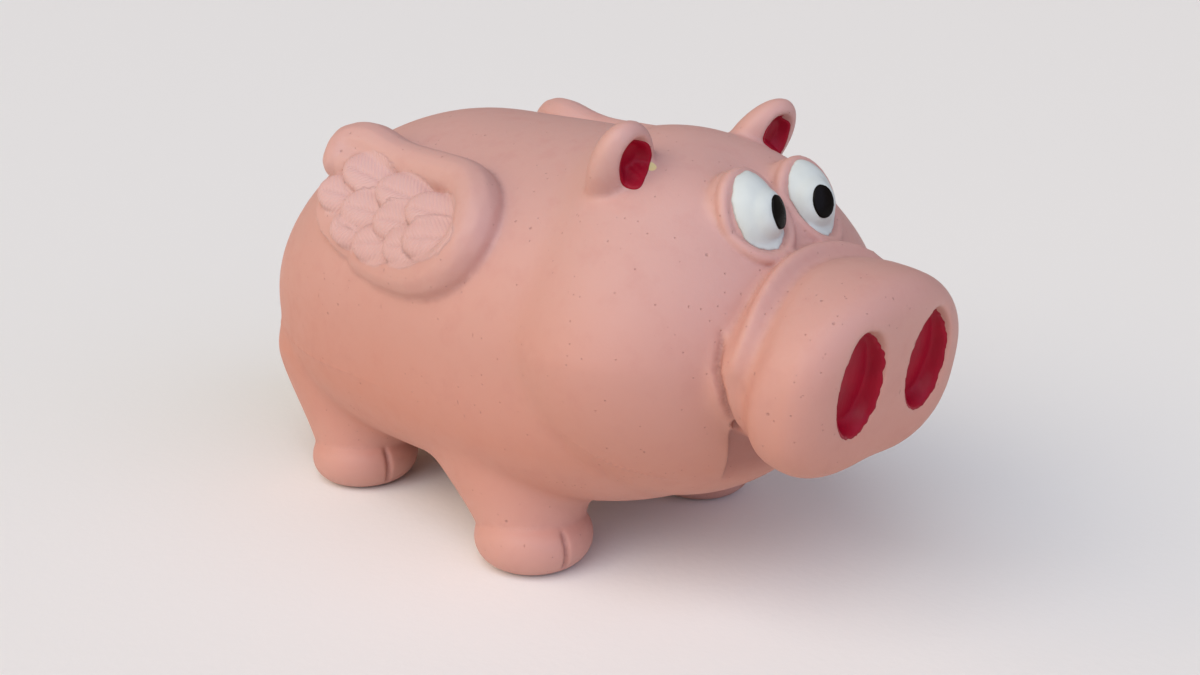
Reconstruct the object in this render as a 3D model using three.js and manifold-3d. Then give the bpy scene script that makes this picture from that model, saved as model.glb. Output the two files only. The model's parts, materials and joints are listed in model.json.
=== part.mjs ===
// A squeaky latex pig with wings, a toy for dogs.
// One moulded latex skin is stuffed with polyester fibre round a concertina squeaker, whose whistle comes out
// through a plug in the belly. The features are coats of coloured latex laid over the skin.
// Millimetres, +X towards the snout, +Y towards the pig's left, +Z up, standing on z = 0.

import * as THREE from "three";
import { mergeVertices } from "three/addons/utils/BufferGeometryUtils.js";
import Module from "manifold-3d";

const wasm = await Module();
wasm.setup();

// Fits
const GAP = 0.3; // clearance between pieces that touch
const WALL = 3.2; // latex wall of the torso, head, snout and legs
const COAT = 0.6; // thickness of a painted coat

// Torso, a barrel whose rump sags
const TORSO_X = -13; // its widest place, from midway between the front and the rear feet
const TORSO_Z = 50.5;
const TORSO_REAR = 60.5; // from the widest place back to the rump
const TORSO_FRONT = 84; // and forward to the end inside the head
const TORSO_WIDTH = 91;
const TORSO_HEIGHT = 79;
const TORSO_SAG = 16; // how much lower the rump's end is
const RUMP_FULLNESS = 2.2; // 2 is round, more is boxier
const CHEST_FULLNESS = 4;

// Head, a ball that bulges past the torso's front
const HEAD_X = 55;
const HEAD_Z = 55;
const HEAD_REAR = 38;
const HEAD_FRONT = 31;
const HEAD_WIDTH = 89;
const HEAD_HEIGHT = 75;
const HEAD_FULLNESS = 2;
const HEAD_TAPER = 0.2; // how much narrower its crown is
const HEAD_SLOPE = 9; // how far the crown lies behind its middle

// Snout, an oval barrel with a flat face
const SNOUT_REACH = 17; // from the head's foremost point to the face
const SNOUT_DEPTH = 36; // from the face back to its root inside the head
const SNOUT_Z = 51.3;
const SNOUT_WIDTH = 53;
const SNOUT_HEIGHT = 38.5;
const SNOUT_SQUARENESS = 2.35;
const SNOUT_ROUND = 9; // rounding of the face's edge
const SNOUT_ROOT = 0.92; // sizes along the barrel, in shares of its face: at its root inside the head,
const SNOUT_ROLL = 1.06; // at the roll behind the face
const SNOUT_NECK = 0.98; // and at the groove between the two
const SNOUT_TILT = 8; // degrees that the face looks down
const NOSTRIL_WIDTH = 11;
const NOSTRIL_HEIGHT = 21;
const NOSTRIL_DEPTH = 3.5;
const NOSTRIL_SPACING = 21;
const NOSTRIL_RISE = 2.5; // above the face's middle

// Eyes, domes in fleshy rims above the snout
const EYE_SPACING = 17;
const EYE_Z = 79;
const EYE_WIDTH = 14;
const EYE_HEIGHT = 17.6;
const EYE_BULGE = 7; // half depth of the dome
const EYE_SINK = 1.5; // how far the dome's centre lies behind the head's surface
const EYE_PITCH = 21; // degrees that the eyes look up
const EYE_COAT_EDGE = 3; // how far in front of the dome's centre its coat ends
const RIM_THICKNESS = 3.2;
const RIM_FORWARD = 2.6; // of the rim in front of the dome's centre
const PUPIL_WIDTH = 5;
const PUPIL_HEIGHT = 6.4;
const PUPIL_DROP = 10; // degrees that the pupils look lower than the domes
const PUPIL_SQUINT = 10; // degrees that they look inwards

// Ears, cupped flaps
const EAR_X = 58.5;
const EAR_ANGLE = 37; // degrees down from the crown
const EAR_RISE = 1; // of an ear's middle above the head
const EAR_WIDTH = 15;
const EAR_HEIGHT = 24;
const EAR_THICKNESS = 12;
const EAR_ROLL = 24; // degrees that the ears lean outwards
const EAR_YAW = 4; // degrees that the cups look outwards
const EAR_SCOOP = 4.5; // depth of the cup
const EAR_LIP = 3; // flesh round the cup
const EAR_MOUTH = 1; // how far the cup's middle lies behind the ear's front
const EAR_CUP_RISE = 1.5; // of the cup above the ear's middle

// Legs, cones that flare into the torso
const LEG_SPACING = 63; // front to rear, between foot centres
const TRACK = 54; // left to right, between foot centres
const FOOT_DIAMETER = 26;
const FOOT_HEIGHT = 12;
const ANKLE_DIAMETER = 23.5;
const FORE_THIGH = 58; // a front thigh, front to back
const HIND_THIGH = 52;
const THIGH_WIDTH = 40; // a thigh, left to right
const THIGH_Z = 32; // height of the thigh's widest place
const THIGH_DOME = 14; // and of the dome above it
const FORE_LEAN = 14; // how far a front thigh lies behind its foot
const HIND_LEAN = 8;
const THIGH_LEAN_IN = 7;
const SOLE = 4; // latex under the stuffing
const CLEFT_WIDTH = 1.4;
const CLEFT_DEPTH = 1.2;
const CLEFT_TURN = 20; // degrees outwards from straight ahead

// Wings, moulded relief on the upper flanks
const WING_X = 3;
const WING_RISE = 33.5; // degrees up the flank from the torso's middle
const WING_LENGTH = 58;
const WING_HEIGHT = 31.5;
const WING_THICKNESS = 3.5; // of the plate under the feathers
const WING_SINK = 4; // how deep the plate reaches into the torso
const WING_ROUND = 1.5; // rounding of the plate's edge
const WING_FLARE = 4; // how far the tip stands off the flank
const ROLL_DIAMETER = 9;
const FEATHER_LENGTH = 16;
const FEATHER_WIDTH = 8.8;
const FEATHER_THICKNESS = 5;
const FEATHER_SKEW = 5; // how much farther back each feather lies than the one below it

// Tail, a curl lying on the rump
const TAIL_DIAMETER = 4.4;
const TAIL_CURL = 12; // across the curl's centre line
const TAIL_Z = 58;

// Squeaker, a concertina between two plastic discs, on the plug that closes the stuffing hole
const PLUG_X = -8;
const PLUG_DIAMETER = 26;
const PLUG_LIP = 3; // how far the plug's flange reaches past its hole
const PLUG_FLANGE = 1.2; // thickness of the flange at its edge
const SQUEAKER_DIAMETER = 31;
const SQUEAKER_HEIGHT = 24;
const SQUEAKER_PLATE = 1.6;
const SQUEAKER_CUFF = 3; // height of the rims that hold the bellows
const CUFF_WALL = 1.2;
const CROWN_DIMPLE = 6; // hole in the crown, where a finger of stuffing holds it
const BELLOWS_WALL = 0.8;
const BELLOWS_FOLD = 3; // depth of a fold
const BELLOWS_FOLDS = 3;
const POCKET_CLEARANCE = 1; // round the squeaker in the stuffing
const WHISTLE_DIAMETER = 8;
const WHISTLE_BORE = 5;
const WHISTLE_FLANGE = 16;
const WHISTLE_FLANGE_THICKNESS = 1.5;
const REED_LENGTH = 10;
const REED_WIDTH = 2.6;
const REED_THICKNESS = 0.3;
const CLIP_LENGTH = 3;
const CLIP_HEIGHT = 1.8;
const CLIP_SHOULDER = 1.6; // of the clip beside the reed
const CLIP_MARGIN = 0.6; // from the clip to the flange's edge

const rad = THREE.MathUtils.degToRad;

// A closed three.js geometry as a solid that can be joined and cut.
function solid(geometry) {
  const bare = geometry.clone();
  bare.deleteAttribute("normal");
  bare.deleteAttribute("uv");
  const merged = mergeVertices(bare);
  const vertProperties = merged.attributes.position.array;
  const triVerts = Uint32Array.from(merged.index.array);
  return new wasm.Manifold(new wasm.Mesh({ numProp: 3, vertProperties, triVerts }));
}

// The vertices and triangles of a solid as a three.js geometry.
function geometryOf(made) {
  const mesh = made.getMesh();
  const geometry = new THREE.BufferGeometry();
  geometry.setAttribute("position", new THREE.BufferAttribute(mesh.vertProperties, 3));
  geometry.setIndex(new THREE.BufferAttribute(mesh.triVerts, 1));
  geometry.computeVertexNormals();
  return geometry;
}

const join = (solids) => solids.reduce((all, next) => all.add(next));
const cut = (from, cutters) => cutters.reduce((rest, next) => rest.subtract(next), from);

// A geometry moved by a function of each of its points.
function reshaped(geometry, move) {
  const points = geometry.attributes.position;
  const point = new THREE.Vector3();
  for (let i = 0; i < points.count; i++) {
    move(point.fromBufferAttribute(points, i));
    points.setXYZ(i, point.x, point.y, point.z);
  }
  return geometry;
}

// The same geometry on the pig's other side, its faces turned so that they still look outwards.
function mirrored(geometry) {
  const other = mergeVertices(geometry.clone().scale(1, -1, 1));
  const faces = other.index.array;
  for (let i = 0; i < faces.length; i += 3) {
    [faces[i + 1], faces[i + 2]] = [faces[i + 2], faces[i + 1]];
  }
  return other;
}

// A geometry drawn for the pig's left side, as a solid on the side asked for.
const LEFT = 1;
const RIGHT = -1;
const SIDES = [RIGHT, LEFT];
const onSide = (geometry, side) => solid(side === LEFT ? geometry : mirrored(geometry));

// A ball
function ball(x, y, z, around = 20, along = 12) {
  return new THREE.SphereGeometry(1, around, along).scale(x, y, z);
}

// How finely the skin's outside and its hollow are faceted.
const OUTER = { around: 24, along: 14, leg: 14 };
const INNER = { around: 16, along: 10, leg: 10 };

// Round lobes. Each is widest at its centre and closes fully or roundly towards its ends.
const torso = {
  centre: new THREE.Vector3(TORSO_X, 0, TORSO_Z),
  rear: { length: TORSO_REAR, fullness: RUMP_FULLNESS },
  front: { length: TORSO_FRONT, fullness: CHEST_FULLNESS },
  width: TORSO_WIDTH,
  height: TORSO_HEIGHT,
  sag: TORSO_SAG,
  taper: 0,
  slope: 0,
};
const head = {
  centre: new THREE.Vector3(HEAD_X, 0, HEAD_Z),
  rear: { length: HEAD_REAR, fullness: HEAD_FULLNESS },
  front: { length: HEAD_FRONT, fullness: HEAD_FULLNESS },
  width: HEAD_WIDTH,
  height: HEAD_HEIGHT,
  sag: 0,
  taper: HEAD_TAPER,
  slope: HEAD_SLOPE,
};

function lobeGeometry(lobe, inset, around, along) {
  const sphere = new THREE.SphereGeometry(1, around, along).rotateZ(-Math.PI / 2);
  return reshaped(sphere, (p) => {
    const end = p.x < 0 ? lobe.rear : lobe.front;
    const radius = Math.hypot(p.y, p.z);
    const station = Math.sign(p.x) * Math.abs(p.x) ** (2 / end.fullness);
    const swell = radius > 1e-9 ? radius ** (2 / end.fullness) / radius : 0;
    const droop = p.x < 0 ? lobe.sag * station ** 2 : 0;
    p.x = station * (end.length - inset);
    const up = Math.max(0, p.z);
    const narrow = 1 - lobe.taper * up;
    p.y *= swell * narrow * (lobe.width / 2 - inset);
    p.z *= swell * (lobe.height / 2 - inset);
    p.z -= droop;
    p.x -= lobe.slope * up ** 2;
    p.add(lobe.centre);
  });
}

// A lobe's centre line and how much of its full size it has at a place along X.
function lobeAt(lobe, x) {
  const along = x - lobe.centre.x;
  const end = along < 0 ? lobe.rear : lobe.front;
  const station = Math.min(1, Math.abs(along) / end.length);
  const share = (1 - station ** end.fullness) ** (1 / end.fullness);
  const z = lobe.centre.z - (along < 0 ? lobe.sag * station ** 2 : 0);
  return { z, halfWidth: (share * lobe.width) / 2, halfHeight: (share * lobe.height) / 2 };
}

const torsoSolid = (inset, facets) => solid(lobeGeometry(torso, inset, facets.around, facets.along));
const headSolid = (inset, facets) => solid(lobeGeometry(head, inset, facets.around, facets.along));

// Snout
const snoutFront = HEAD_X + HEAD_FRONT + SNOUT_REACH;
const snoutFrame = new THREE.Matrix4()
  .makeTranslation(snoutFront, 0, SNOUT_Z)
  .multiply(new THREE.Matrix4().makeRotationY(rad(SNOUT_TILT)));

// The barrel behind its face, which is set back to leave a wall in front of a cavity.
function snoutSolid(inset, faceWall, facets) {
  const halfWidth = SNOUT_WIDTH / 2 - inset;
  const halfHeight = SNOUT_HEIGHT / 2 - inset;
  const round = SNOUT_ROUND / (SNOUT_HEIGHT / 2);
  const edge = new THREE.EllipseCurve(1 - round, -faceWall - SNOUT_ROUND, round, SNOUT_ROUND, 0, Math.PI / 2);
  const profile = [
    new THREE.Vector2(0, -SNOUT_DEPTH),
    new THREE.Vector2(SNOUT_ROOT, -SNOUT_DEPTH),
    new THREE.Vector2(SNOUT_ROLL, -SNOUT_DEPTH * 0.62),
    new THREE.Vector2(SNOUT_NECK, -SNOUT_DEPTH * 0.42),
    ...edge.getPoints(3),
    new THREE.Vector2(0, -faceWall),
  ];
  const barrel = new THREE.LatheGeometry(profile, facets.around).rotateZ(-Math.PI / 2);
  const n = SNOUT_SQUARENESS;
  reshaped(barrel, (p) => {
    const radius = Math.hypot(p.y, p.z);
    const square = radius > 1e-9 ? (Math.abs(p.y / radius) ** n + Math.abs(p.z / radius) ** n) ** (-1 / n) : 1;
    p.y *= square * halfWidth;
    p.z *= square * halfHeight;
  });
  return solid(barrel.applyMatrix4(snoutFrame));
}

// Legs. A foot is a round pad and its shank a cone with a curved flare that leans into the torso.
function footGeometry(facets) {
  const radius = FOOT_DIAMETER / 2;
  const round = FOOT_HEIGHT / 2;
  const low = new THREE.EllipseCurve(radius - round, round, round, round, -Math.PI / 2, 0);
  const high = new THREE.EllipseCurve(radius - round, round, round, round, 0, Math.PI / 3);
  const profile = [
    new THREE.Vector2(0, 0),
    ...low.getPoints(2),
    ...high.getPoints(2).slice(1),
    new THREE.Vector2(0, FOOT_HEIGHT),
  ];
  return new THREE.LatheGeometry(profile, facets.leg).rotateX(Math.PI / 2);
}

function shankGeometry(leg, inset, low, facets) {
  const steps = 3;
  const profile = [new THREE.Vector2(0, low)];
  for (let i = 0; i <= steps; i++) {
    const t = i / steps;
    const radius = THREE.MathUtils.lerp(ANKLE_DIAMETER, leg.thigh, t ** 1.4) / 2 - inset;
    profile.push(new THREE.Vector2(radius, THREE.MathUtils.lerp(low, THIGH_Z, t)));
  }
  const dome = new THREE.EllipseCurve(0, THIGH_Z, leg.thigh / 2 - inset, THIGH_DOME - inset, 0, Math.PI / 2);
  profile.push(...dome.getPoints(3).slice(1, -1), new THREE.Vector2(0, THIGH_Z + THIGH_DOME - inset));
  const cone = new THREE.LatheGeometry(profile, facets.leg).rotateX(Math.PI / 2);
  return reshaped(cone, (p) => {
    const rise = Math.max(0, (p.z - low) / (THIGH_Z - low));
    const narrow = THREE.MathUtils.lerp(1, THIGH_WIDTH / leg.thigh, Math.min(1, rise));
    p.x -= leg.lean * rise;
    p.y = p.y * narrow - THIGH_LEAN_IN * rise;
  });
}

const legs = [
  { name: "front", x: LEG_SPACING / 2, lean: FORE_LEAN, thigh: FORE_THIGH },
  { name: "rear", x: -LEG_SPACING / 2, lean: HIND_LEAN, thigh: HIND_THIGH },
];

const atFoot = (leg, geometry, side) => onSide(geometry.translate(leg.x, TRACK / 2, 0), side);
const footSolid = (leg, side) => atFoot(leg, footGeometry(OUTER), side);
const shankSolid = (leg, side, inset, low, facets) => atFoot(leg, shankGeometry(leg, inset, low, facets), side);
const everyLeg = (make) => legs.flatMap((leg) => SIDES.map((side) => make(leg, side)));

// Head features. Everything paired is drawn for the left side and mirrored.
function headFrontX(y, z) {
  const up = (z - HEAD_Z) / (HEAD_HEIGHT / 2);
  const out = Math.hypot(up, y / (HEAD_WIDTH / 2));
  const station = Math.max(0, 1 - out ** HEAD_FULLNESS) ** (1 / HEAD_FULLNESS);
  return HEAD_X + HEAD_FRONT * station - HEAD_SLOPE * Math.max(0, up) ** 2;
}

// A nostril's pocket, smaller by the inset, from its floor to a front that may stop short of the face.
function nostrilGeometry(inset, front) {
  const floor = -NOSTRIL_DEPTH + inset;
  const corner = -0.7 * NOSTRIL_DEPTH + inset;
  const profile = [
    new THREE.Vector2(0, floor),
    new THREE.Vector2(0.85, floor),
    new THREE.Vector2(1, corner),
    new THREE.Vector2(1, front),
    new THREE.Vector2(0, front),
  ];
  const pocket = new THREE.LatheGeometry(profile, 16).rotateZ(-Math.PI / 2);
  pocket.scale(1, NOSTRIL_WIDTH / 2 - inset, NOSTRIL_HEIGHT / 2 - inset);
  pocket.translate(0, NOSTRIL_SPACING / 2, NOSTRIL_RISE);
  return pocket.applyMatrix4(snoutFrame);
}

// Eyes look along their own X, tilted up.
const eyeX = headFrontX(EYE_SPACING / 2, EYE_Z) - EYE_SINK;
const eyeFrame = new THREE.Matrix4()
  .makeTranslation(eyeX, EYE_SPACING / 2, EYE_Z)
  .multiply(new THREE.Matrix4().makeRotationY(-rad(EYE_PITCH)));

function eyeGeometry(grow) {
  const dome = ball(EYE_BULGE + grow, EYE_WIDTH / 2 + grow, EYE_HEIGHT / 2 + grow, 14, 8);
  return dome.applyMatrix4(eyeFrame);
}

function rimGeometry(grow) {
  const ring = new THREE.TorusGeometry(EYE_WIDTH / 2, RIM_THICKNESS / 2 + grow, 6, 16);
  ring.rotateY(Math.PI / 2).scale(1, 1, EYE_HEIGHT / EYE_WIDTH).translate(RIM_FORWARD, 0, 0);
  return ring.applyMatrix4(eyeFrame);
}

// Everything in front of the plane where an eye's coat ends.
function eyeFrontGeometry() {
  const size = 4 * EYE_HEIGHT;
  const block = new THREE.BoxGeometry(size, size, size).translate(size / 2 + EYE_COAT_EDGE, 0, 0);
  return block.applyMatrix4(eyeFrame);
}

// A pupil's outline, swept along the way that it looks.
function pupilOutlineGeometry() {
  const rod = new THREE.CylinderGeometry(1, 1, 4 * EYE_BULGE, 14).rotateZ(-Math.PI / 2);
  rod.scale(1, PUPIL_WIDTH / 2, PUPIL_HEIGHT / 2).translate(2 * EYE_BULGE, 0, 0);
  rod.rotateY(rad(PUPIL_DROP)).rotateZ(-rad(PUPIL_SQUINT));
  return rod.applyMatrix4(eyeFrame);
}

// Ears stand on the head's upper corners. Their cups look along their own X.
const earBase = lobeAt(head, EAR_X);
const earUp = Math.cos(rad(EAR_ANGLE));
const earFrame = new THREE.Matrix4()
  .makeTranslation(
    EAR_X - HEAD_SLOPE * earUp ** 2,
    earBase.halfWidth * (1 - HEAD_TAPER * earUp) * Math.sin(rad(EAR_ANGLE)),
    earBase.z + earBase.halfHeight * earUp + EAR_RISE,
  )
  .multiply(new THREE.Matrix4().makeRotationX(-rad(EAR_ROLL)))
  .multiply(new THREE.Matrix4().makeRotationZ(rad(EAR_YAW)));

const earGeometry = () => ball(EAR_THICKNESS / 2, EAR_WIDTH / 2, EAR_HEIGHT / 2, 12, 8).applyMatrix4(earFrame);

// The cup in an ear, smaller by the inset.
function earCupGeometry(inset) {
  const cup = ball(EAR_SCOOP - inset, EAR_WIDTH / 2 - EAR_LIP - inset, EAR_HEIGHT / 2 - EAR_LIP - inset, 12, 8);
  return cup.translate(EAR_THICKNESS / 2 - EAR_MOUTH, 0, EAR_CUP_RISE).applyMatrix4(earFrame);
}

// Everything behind the plane where the coat in an ear's cup ends.
function earBackGeometry() {
  const size = 2 * EAR_HEIGHT;
  const front = EAR_THICKNESS / 2 - EAR_MOUTH - GAP;
  return new THREE.BoxGeometry(size, size, size).translate(front - size / 2, 0, 0).applyMatrix4(earFrame);
}

// Wings. Their relief is drawn flat, with X back along the flank, Y up it and Z out of it, then wrapped on it.
function wrappedOnFlank(geometry) {
  const rise = rad(WING_RISE);
  return reshaped(geometry, (p) => {
    const x = WING_X - p.x;
    const flank = lobeAt(torso, x);
    const angle = rise + (2 * p.y) / (TORSO_WIDTH + TORSO_HEIGHT) * 2;
    const normal = new THREE.Vector2(Math.cos(angle) * TORSO_HEIGHT, Math.sin(angle) * TORSO_WIDTH).normalize();
    const out = p.z + WING_FLARE * Math.max(0, p.x / WING_LENGTH) ** 2 * 4;
    p.set(
      x,
      flank.halfWidth * Math.cos(angle) + normal.x * out,
      flank.z + flank.halfHeight * Math.sin(angle) + normal.y * out,
    );
  });
}

const wingPoint = ([back, up]) => new THREE.Vector2(back * WING_LENGTH, up * WING_HEIGHT);

// The wing's outline from the lobe at its tip along the top, round the front and back under the feathers, in
// shares of its length and height.
const WING_OUTLINE = [
  [0.53, 0.44],
  [0.38, 0.52],
  [0.14, 0.46],
  [-0.12, 0.43],
  [-0.33, 0.39],
  [-0.46, 0.22],
  [-0.49, -0.04],
  [-0.41, -0.31],
  [-0.24, -0.45],
  [-0.03, -0.42],
  [0.2, -0.29],
  [0.36, -0.08],
  [0.45, 0.16],
];

function wingPlateGeometry() {
  const outline = new THREE.SplineCurve([...WING_OUTLINE, WING_OUTLINE[0]].map(wingPoint)).getPoints(22);
  outline.pop();
  const plate = new THREE.ExtrudeGeometry(new THREE.Shape(outline), {
    depth: WING_SINK + WING_THICKNESS - WING_ROUND,
    steps: 1,
    curveSegments: 1,
    bevelThickness: WING_ROUND,
    bevelSize: WING_ROUND,
    bevelOffset: -WING_ROUND,
    bevelSegments: 1,
  });
  return wrappedOnFlank(plate.translate(0, 0, -WING_SINK));
}

// The fleshy roll along the wing's top and front.
function wingRollGeometry() {
  const inset = ROLL_DIAMETER / 2;
  const path = [
    [0.47, 0.42],
    [0.3, 0.45],
    [0.12, 0.4],
    [-0.12, 0.37],
    [-0.3, 0.3],
    [-0.39, 0.12],
    [-0.41, -0.08],
    [-0.33, -0.28],
    [-0.18, -0.36],
    [0, -0.35],
  ].map((share) => new THREE.Vector3(wingPoint(share).x, wingPoint(share).y, WING_THICKNESS - inset * 0.55));
  const curve = new THREE.CatmullRomCurve3(path);
  const circle = new THREE.Shape(new THREE.EllipseCurve(0, 0, inset, inset).getPoints(8).slice(0, -1));
  const roll = new THREE.ExtrudeGeometry(circle, { steps: 14, extrudePath: curve, curveSegments: 1 });
  return wrappedOnFlank(roll);
}

const wingTipGeometry = () => {
  const tip = ball(ROLL_DIAMETER * 0.62, ROLL_DIAMETER * 0.62, ROLL_DIAMETER * 0.55, 10, 6);
  const place = wingPoint([0.44, 0.4]);
  return wrappedOnFlank(tip.translate(place.x, place.y, WING_THICKNESS - ROLL_DIAMETER * 0.3));
};

// Rows of feathers from the front, each lower and farther back than the one before it.
const FEATHER_ROWS = [2, 3, 3, 2];
function featherGeometries() {
  const feathers = [];
  FEATHER_ROWS.forEach((count, row) => {
    for (let i = 0; i < count; i++) {
      const across = i - (count - 1) / 2;
      const back = (-0.22 + 0.155 * row) * WING_LENGTH - across * -FEATHER_SKEW;
      const up = (-0.03 - 0.01 * row) * WING_HEIGHT + across * FEATHER_WIDTH * 0.8;
      const feather = ball(FEATHER_LENGTH / 2, FEATHER_WIDTH / 2, FEATHER_THICKNESS / 2, 8, 4);
      feather.rotateZ(rad(-14)).translate(back, up, WING_THICKNESS - 0.6 * row - FEATHER_THICKNESS * 0.12);
      feathers.push(wrappedOnFlank(feather));
    }
  });
  return feathers;
}

// Tail. A tube that curls in on itself, half sunk in the rump.
function rumpX(y, z) {
  let inside = TORSO_X;
  let outside = TORSO_X - TORSO_REAR;
  for (let i = 0; i < 30; i++) {
    const x = (inside + outside) / 2;
    const at = lobeAt(torso, x);
    const filled = Math.hypot(y / at.halfWidth, (z - at.z) / at.halfHeight) < 1;
    if (filled) inside = x;
    else outside = x;
  }
  return inside;
}

function tailSolid() {
  const points = [];
  for (let i = 0; i <= 20; i++) {
    const t = i / 20;
    const turn = rad(100 + 430 * t);
    const reach = (TAIL_CURL / 2) * (1.25 - 0.8 * t);
    const y = reach * Math.cos(turn);
    const z = TAIL_Z + reach * Math.sin(turn);
    points.push(new THREE.Vector3(rumpX(y, z) - TAIL_DIAMETER * 0.22 * (0.6 + t), y, z));
  }
  const radius = TAIL_DIAMETER / 2;
  const circle = new THREE.Shape(new THREE.EllipseCurve(0, 0, radius, radius).getPoints(6).slice(0, -1));
  const tube = new THREE.ExtrudeGeometry(circle, {
    steps: 14,
    curveSegments: 1,
    extrudePath: new THREE.CatmullRomCurve3(points),
  });
  const ends = [points[0], points[points.length - 1]].map((end) => {
    const cap = ball(radius, radius, radius, 8, 6);
    return solid(cap.translate(end.x, end.y, end.z));
  });
  return join([solid(tube), ...ends]);
}

// The short groove in front of a foot that makes it a trotter.
function cleftGeometry(leg) {
  const groove = new THREE.BoxGeometry(2 * CLEFT_DEPTH, CLEFT_WIDTH, FOOT_HEIGHT * 0.6);
  groove.translate(FOOT_DIAMETER / 2, 0, FOOT_HEIGHT * 0.55).rotateZ(rad(CLEFT_TURN));
  return groove.translate(leg.x, TRACK / 2, 0);
}

const pairOf = (make) => SIDES.flatMap((side) => [make()].flat().map((geometry) => onSide(geometry, side)));

// Belly plug. Its face is flush with the belly, its flange lies inside the skin and its top is flat.
const belly = lobeAt(torso, PLUG_X);
const bellyZ = belly.z - belly.halfHeight;
const flangeRadius = PLUG_DIAMETER / 2 + PLUG_LIP;
const innerWidth = belly.halfWidth - WALL - GAP;
const innerHeight = belly.halfHeight - WALL - GAP;
const flangeEdgeZ = belly.z - innerHeight * Math.sqrt(1 - (flangeRadius / innerWidth) ** 2);
const plugTop = flangeEdgeZ + PLUG_FLANGE;

// An upright cylinder on the plug's axis, between two heights.
function post(diameter, bottom, top, sides) {
  const cylinder = new THREE.CylinderGeometry(diameter / 2, diameter / 2, top - bottom, sides);
  return solid(cylinder.rotateX(Math.PI / 2).translate(PLUG_X, 0, (top + bottom) / 2));
}

const below = bellyZ - TORSO_SAG;
const plugHole = post(PLUG_DIAMETER, below, plugTop, 28);
const plugStem = post(PLUG_DIAMETER - 2 * GAP, below, plugTop, 28).intersect(torsoSolid(0, OUTER));
const plugFlange = post(2 * flangeRadius, below, plugTop, 28).intersect(torsoSolid(WALL + GAP, INNER));
const whistleHole = post(WHISTLE_DIAMETER + 2 * GAP, below, torso.centre.z, 20);
const bellyPlug = plugStem.add(plugFlange).subtract(whistleHole);

// The skin. It is one moulding, cut at its creases into simple forms that stand a gap apart. The head keeps
// what it shares with the torso, and everything else is cut by the larger form that it grows from. The hollow
// runs through them all.
const hollow = join([
  torsoSolid(WALL, INNER),
  headSolid(WALL, INNER),
  snoutSolid(WALL, NOSTRIL_DEPTH + WALL, INNER),
  ...everyLeg((leg, side) => shankSolid(leg, side, WALL, SOLE, INNER)),
]);
const aroundTorso = torsoSolid(-GAP, OUTER);
const aroundHead = headSolid(-GAP, OUTER);
const aroundEyes = [...pairOf(() => eyeGeometry(GAP)), ...pairOf(() => rimGeometry(GAP))];

const torsoSkin = cut(torsoSolid(0, OUTER), [aroundHead, hollow, plugHole]);
const headSkin = cut(
  join([headSolid(0, OUTER), ...pairOf(() => eyeGeometry(0)), ...pairOf(() => rimGeometry(0))]),
  [hollow],
);
const snoutSkin = cut(snoutSolid(0, 0, OUTER), [
  aroundHead,
  ...aroundEyes,
  hollow,
  ...pairOf(() => nostrilGeometry(0, NOSTRIL_DEPTH)),
]);
const earSkin = (side) => cut(onSide(earGeometry(), side), [aroundHead, onSide(earCupGeometry(0), side)]);
function wingSkin(side) {
  const relief = [wingPlateGeometry(), wingRollGeometry(), wingTipGeometry(), ...featherGeometries()];
  return cut(join(relief.map((geometry) => onSide(geometry, side))), [aroundTorso, aroundHead]);
}
const tailSkin = tailSolid().subtract(aroundTorso);
const legSkin = (leg, side) =>
  cut(footSolid(leg, side).add(shankSolid(leg, side, 0, FOOT_HEIGHT / 2, OUTER)), [
    aroundTorso,
    aroundHead,
    hollow,
    onSide(cleftGeometry(leg), side),
  ]);

// Squeaker, standing on the plug
const squeakerBottom = plugTop + GAP;
const squeakerTop = squeakerBottom + SQUEAKER_HEIGHT;
const bellowsDiameter = SQUEAKER_DIAMETER - 2 * (CUFF_WALL + GAP);

// A ring turned from an outline of radius and height, which closes on itself.
function turned(outline, sides) {
  const closed = [...outline, outline[0]].map(([radius, height]) => new THREE.Vector2(radius, height));
  return new THREE.LatheGeometry(closed, sides).rotateX(Math.PI / 2);
}

// A disc with a rim round its edge and a hole in its middle, lying on z = 0.
function cuffedDisc(hole) {
  const radius = SQUEAKER_DIAMETER / 2;
  return turned(
    [
      [hole / 2, 0],
      [radius, 0],
      [radius, SQUEAKER_PLATE + SQUEAKER_CUFF],
      [radius - CUFF_WALL, SQUEAKER_PLATE + SQUEAKER_CUFF],
      [radius - CUFF_WALL, SQUEAKER_PLATE],
      [hole / 2, SQUEAKER_PLATE],
    ],
    20,
  );
}

function bellowsGeometry() {
  const height = SQUEAKER_HEIGHT - 2 * (SQUEAKER_PLATE + GAP);
  const straight = SQUEAKER_CUFF;
  const fold = (height - 2 * straight) / (2 * BELLOWS_FOLDS);
  const outside = [[bellowsDiameter / 2, 0]];
  for (let i = 0; i <= 2 * BELLOWS_FOLDS; i++) {
    const depth = i % 2 === 1 ? BELLOWS_FOLD : 0;
    outside.push([bellowsDiameter / 2 - depth, straight + i * fold]);
  }
  outside.push([bellowsDiameter / 2, height]);
  const inside = outside.map(([radius, z]) => [radius - BELLOWS_WALL, z]).reverse();
  return turned([...outside, ...inside], 20);
}

// Whistle, in the squeaker's floor. A reed lies over a slot in its flange and is held by a clip at its root.
const whistleBottom = bellyZ + GAP - squeakerBottom;
const flangeBottom = SQUEAKER_PLATE + GAP;
const flangeTop = flangeBottom + WHISTLE_FLANGE_THICKNESS;
const clipX = -WHISTLE_FLANGE / 2 + CLIP_LENGTH / 2 + CLIP_MARGIN;
const reedBottom = flangeTop + GAP;

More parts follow.
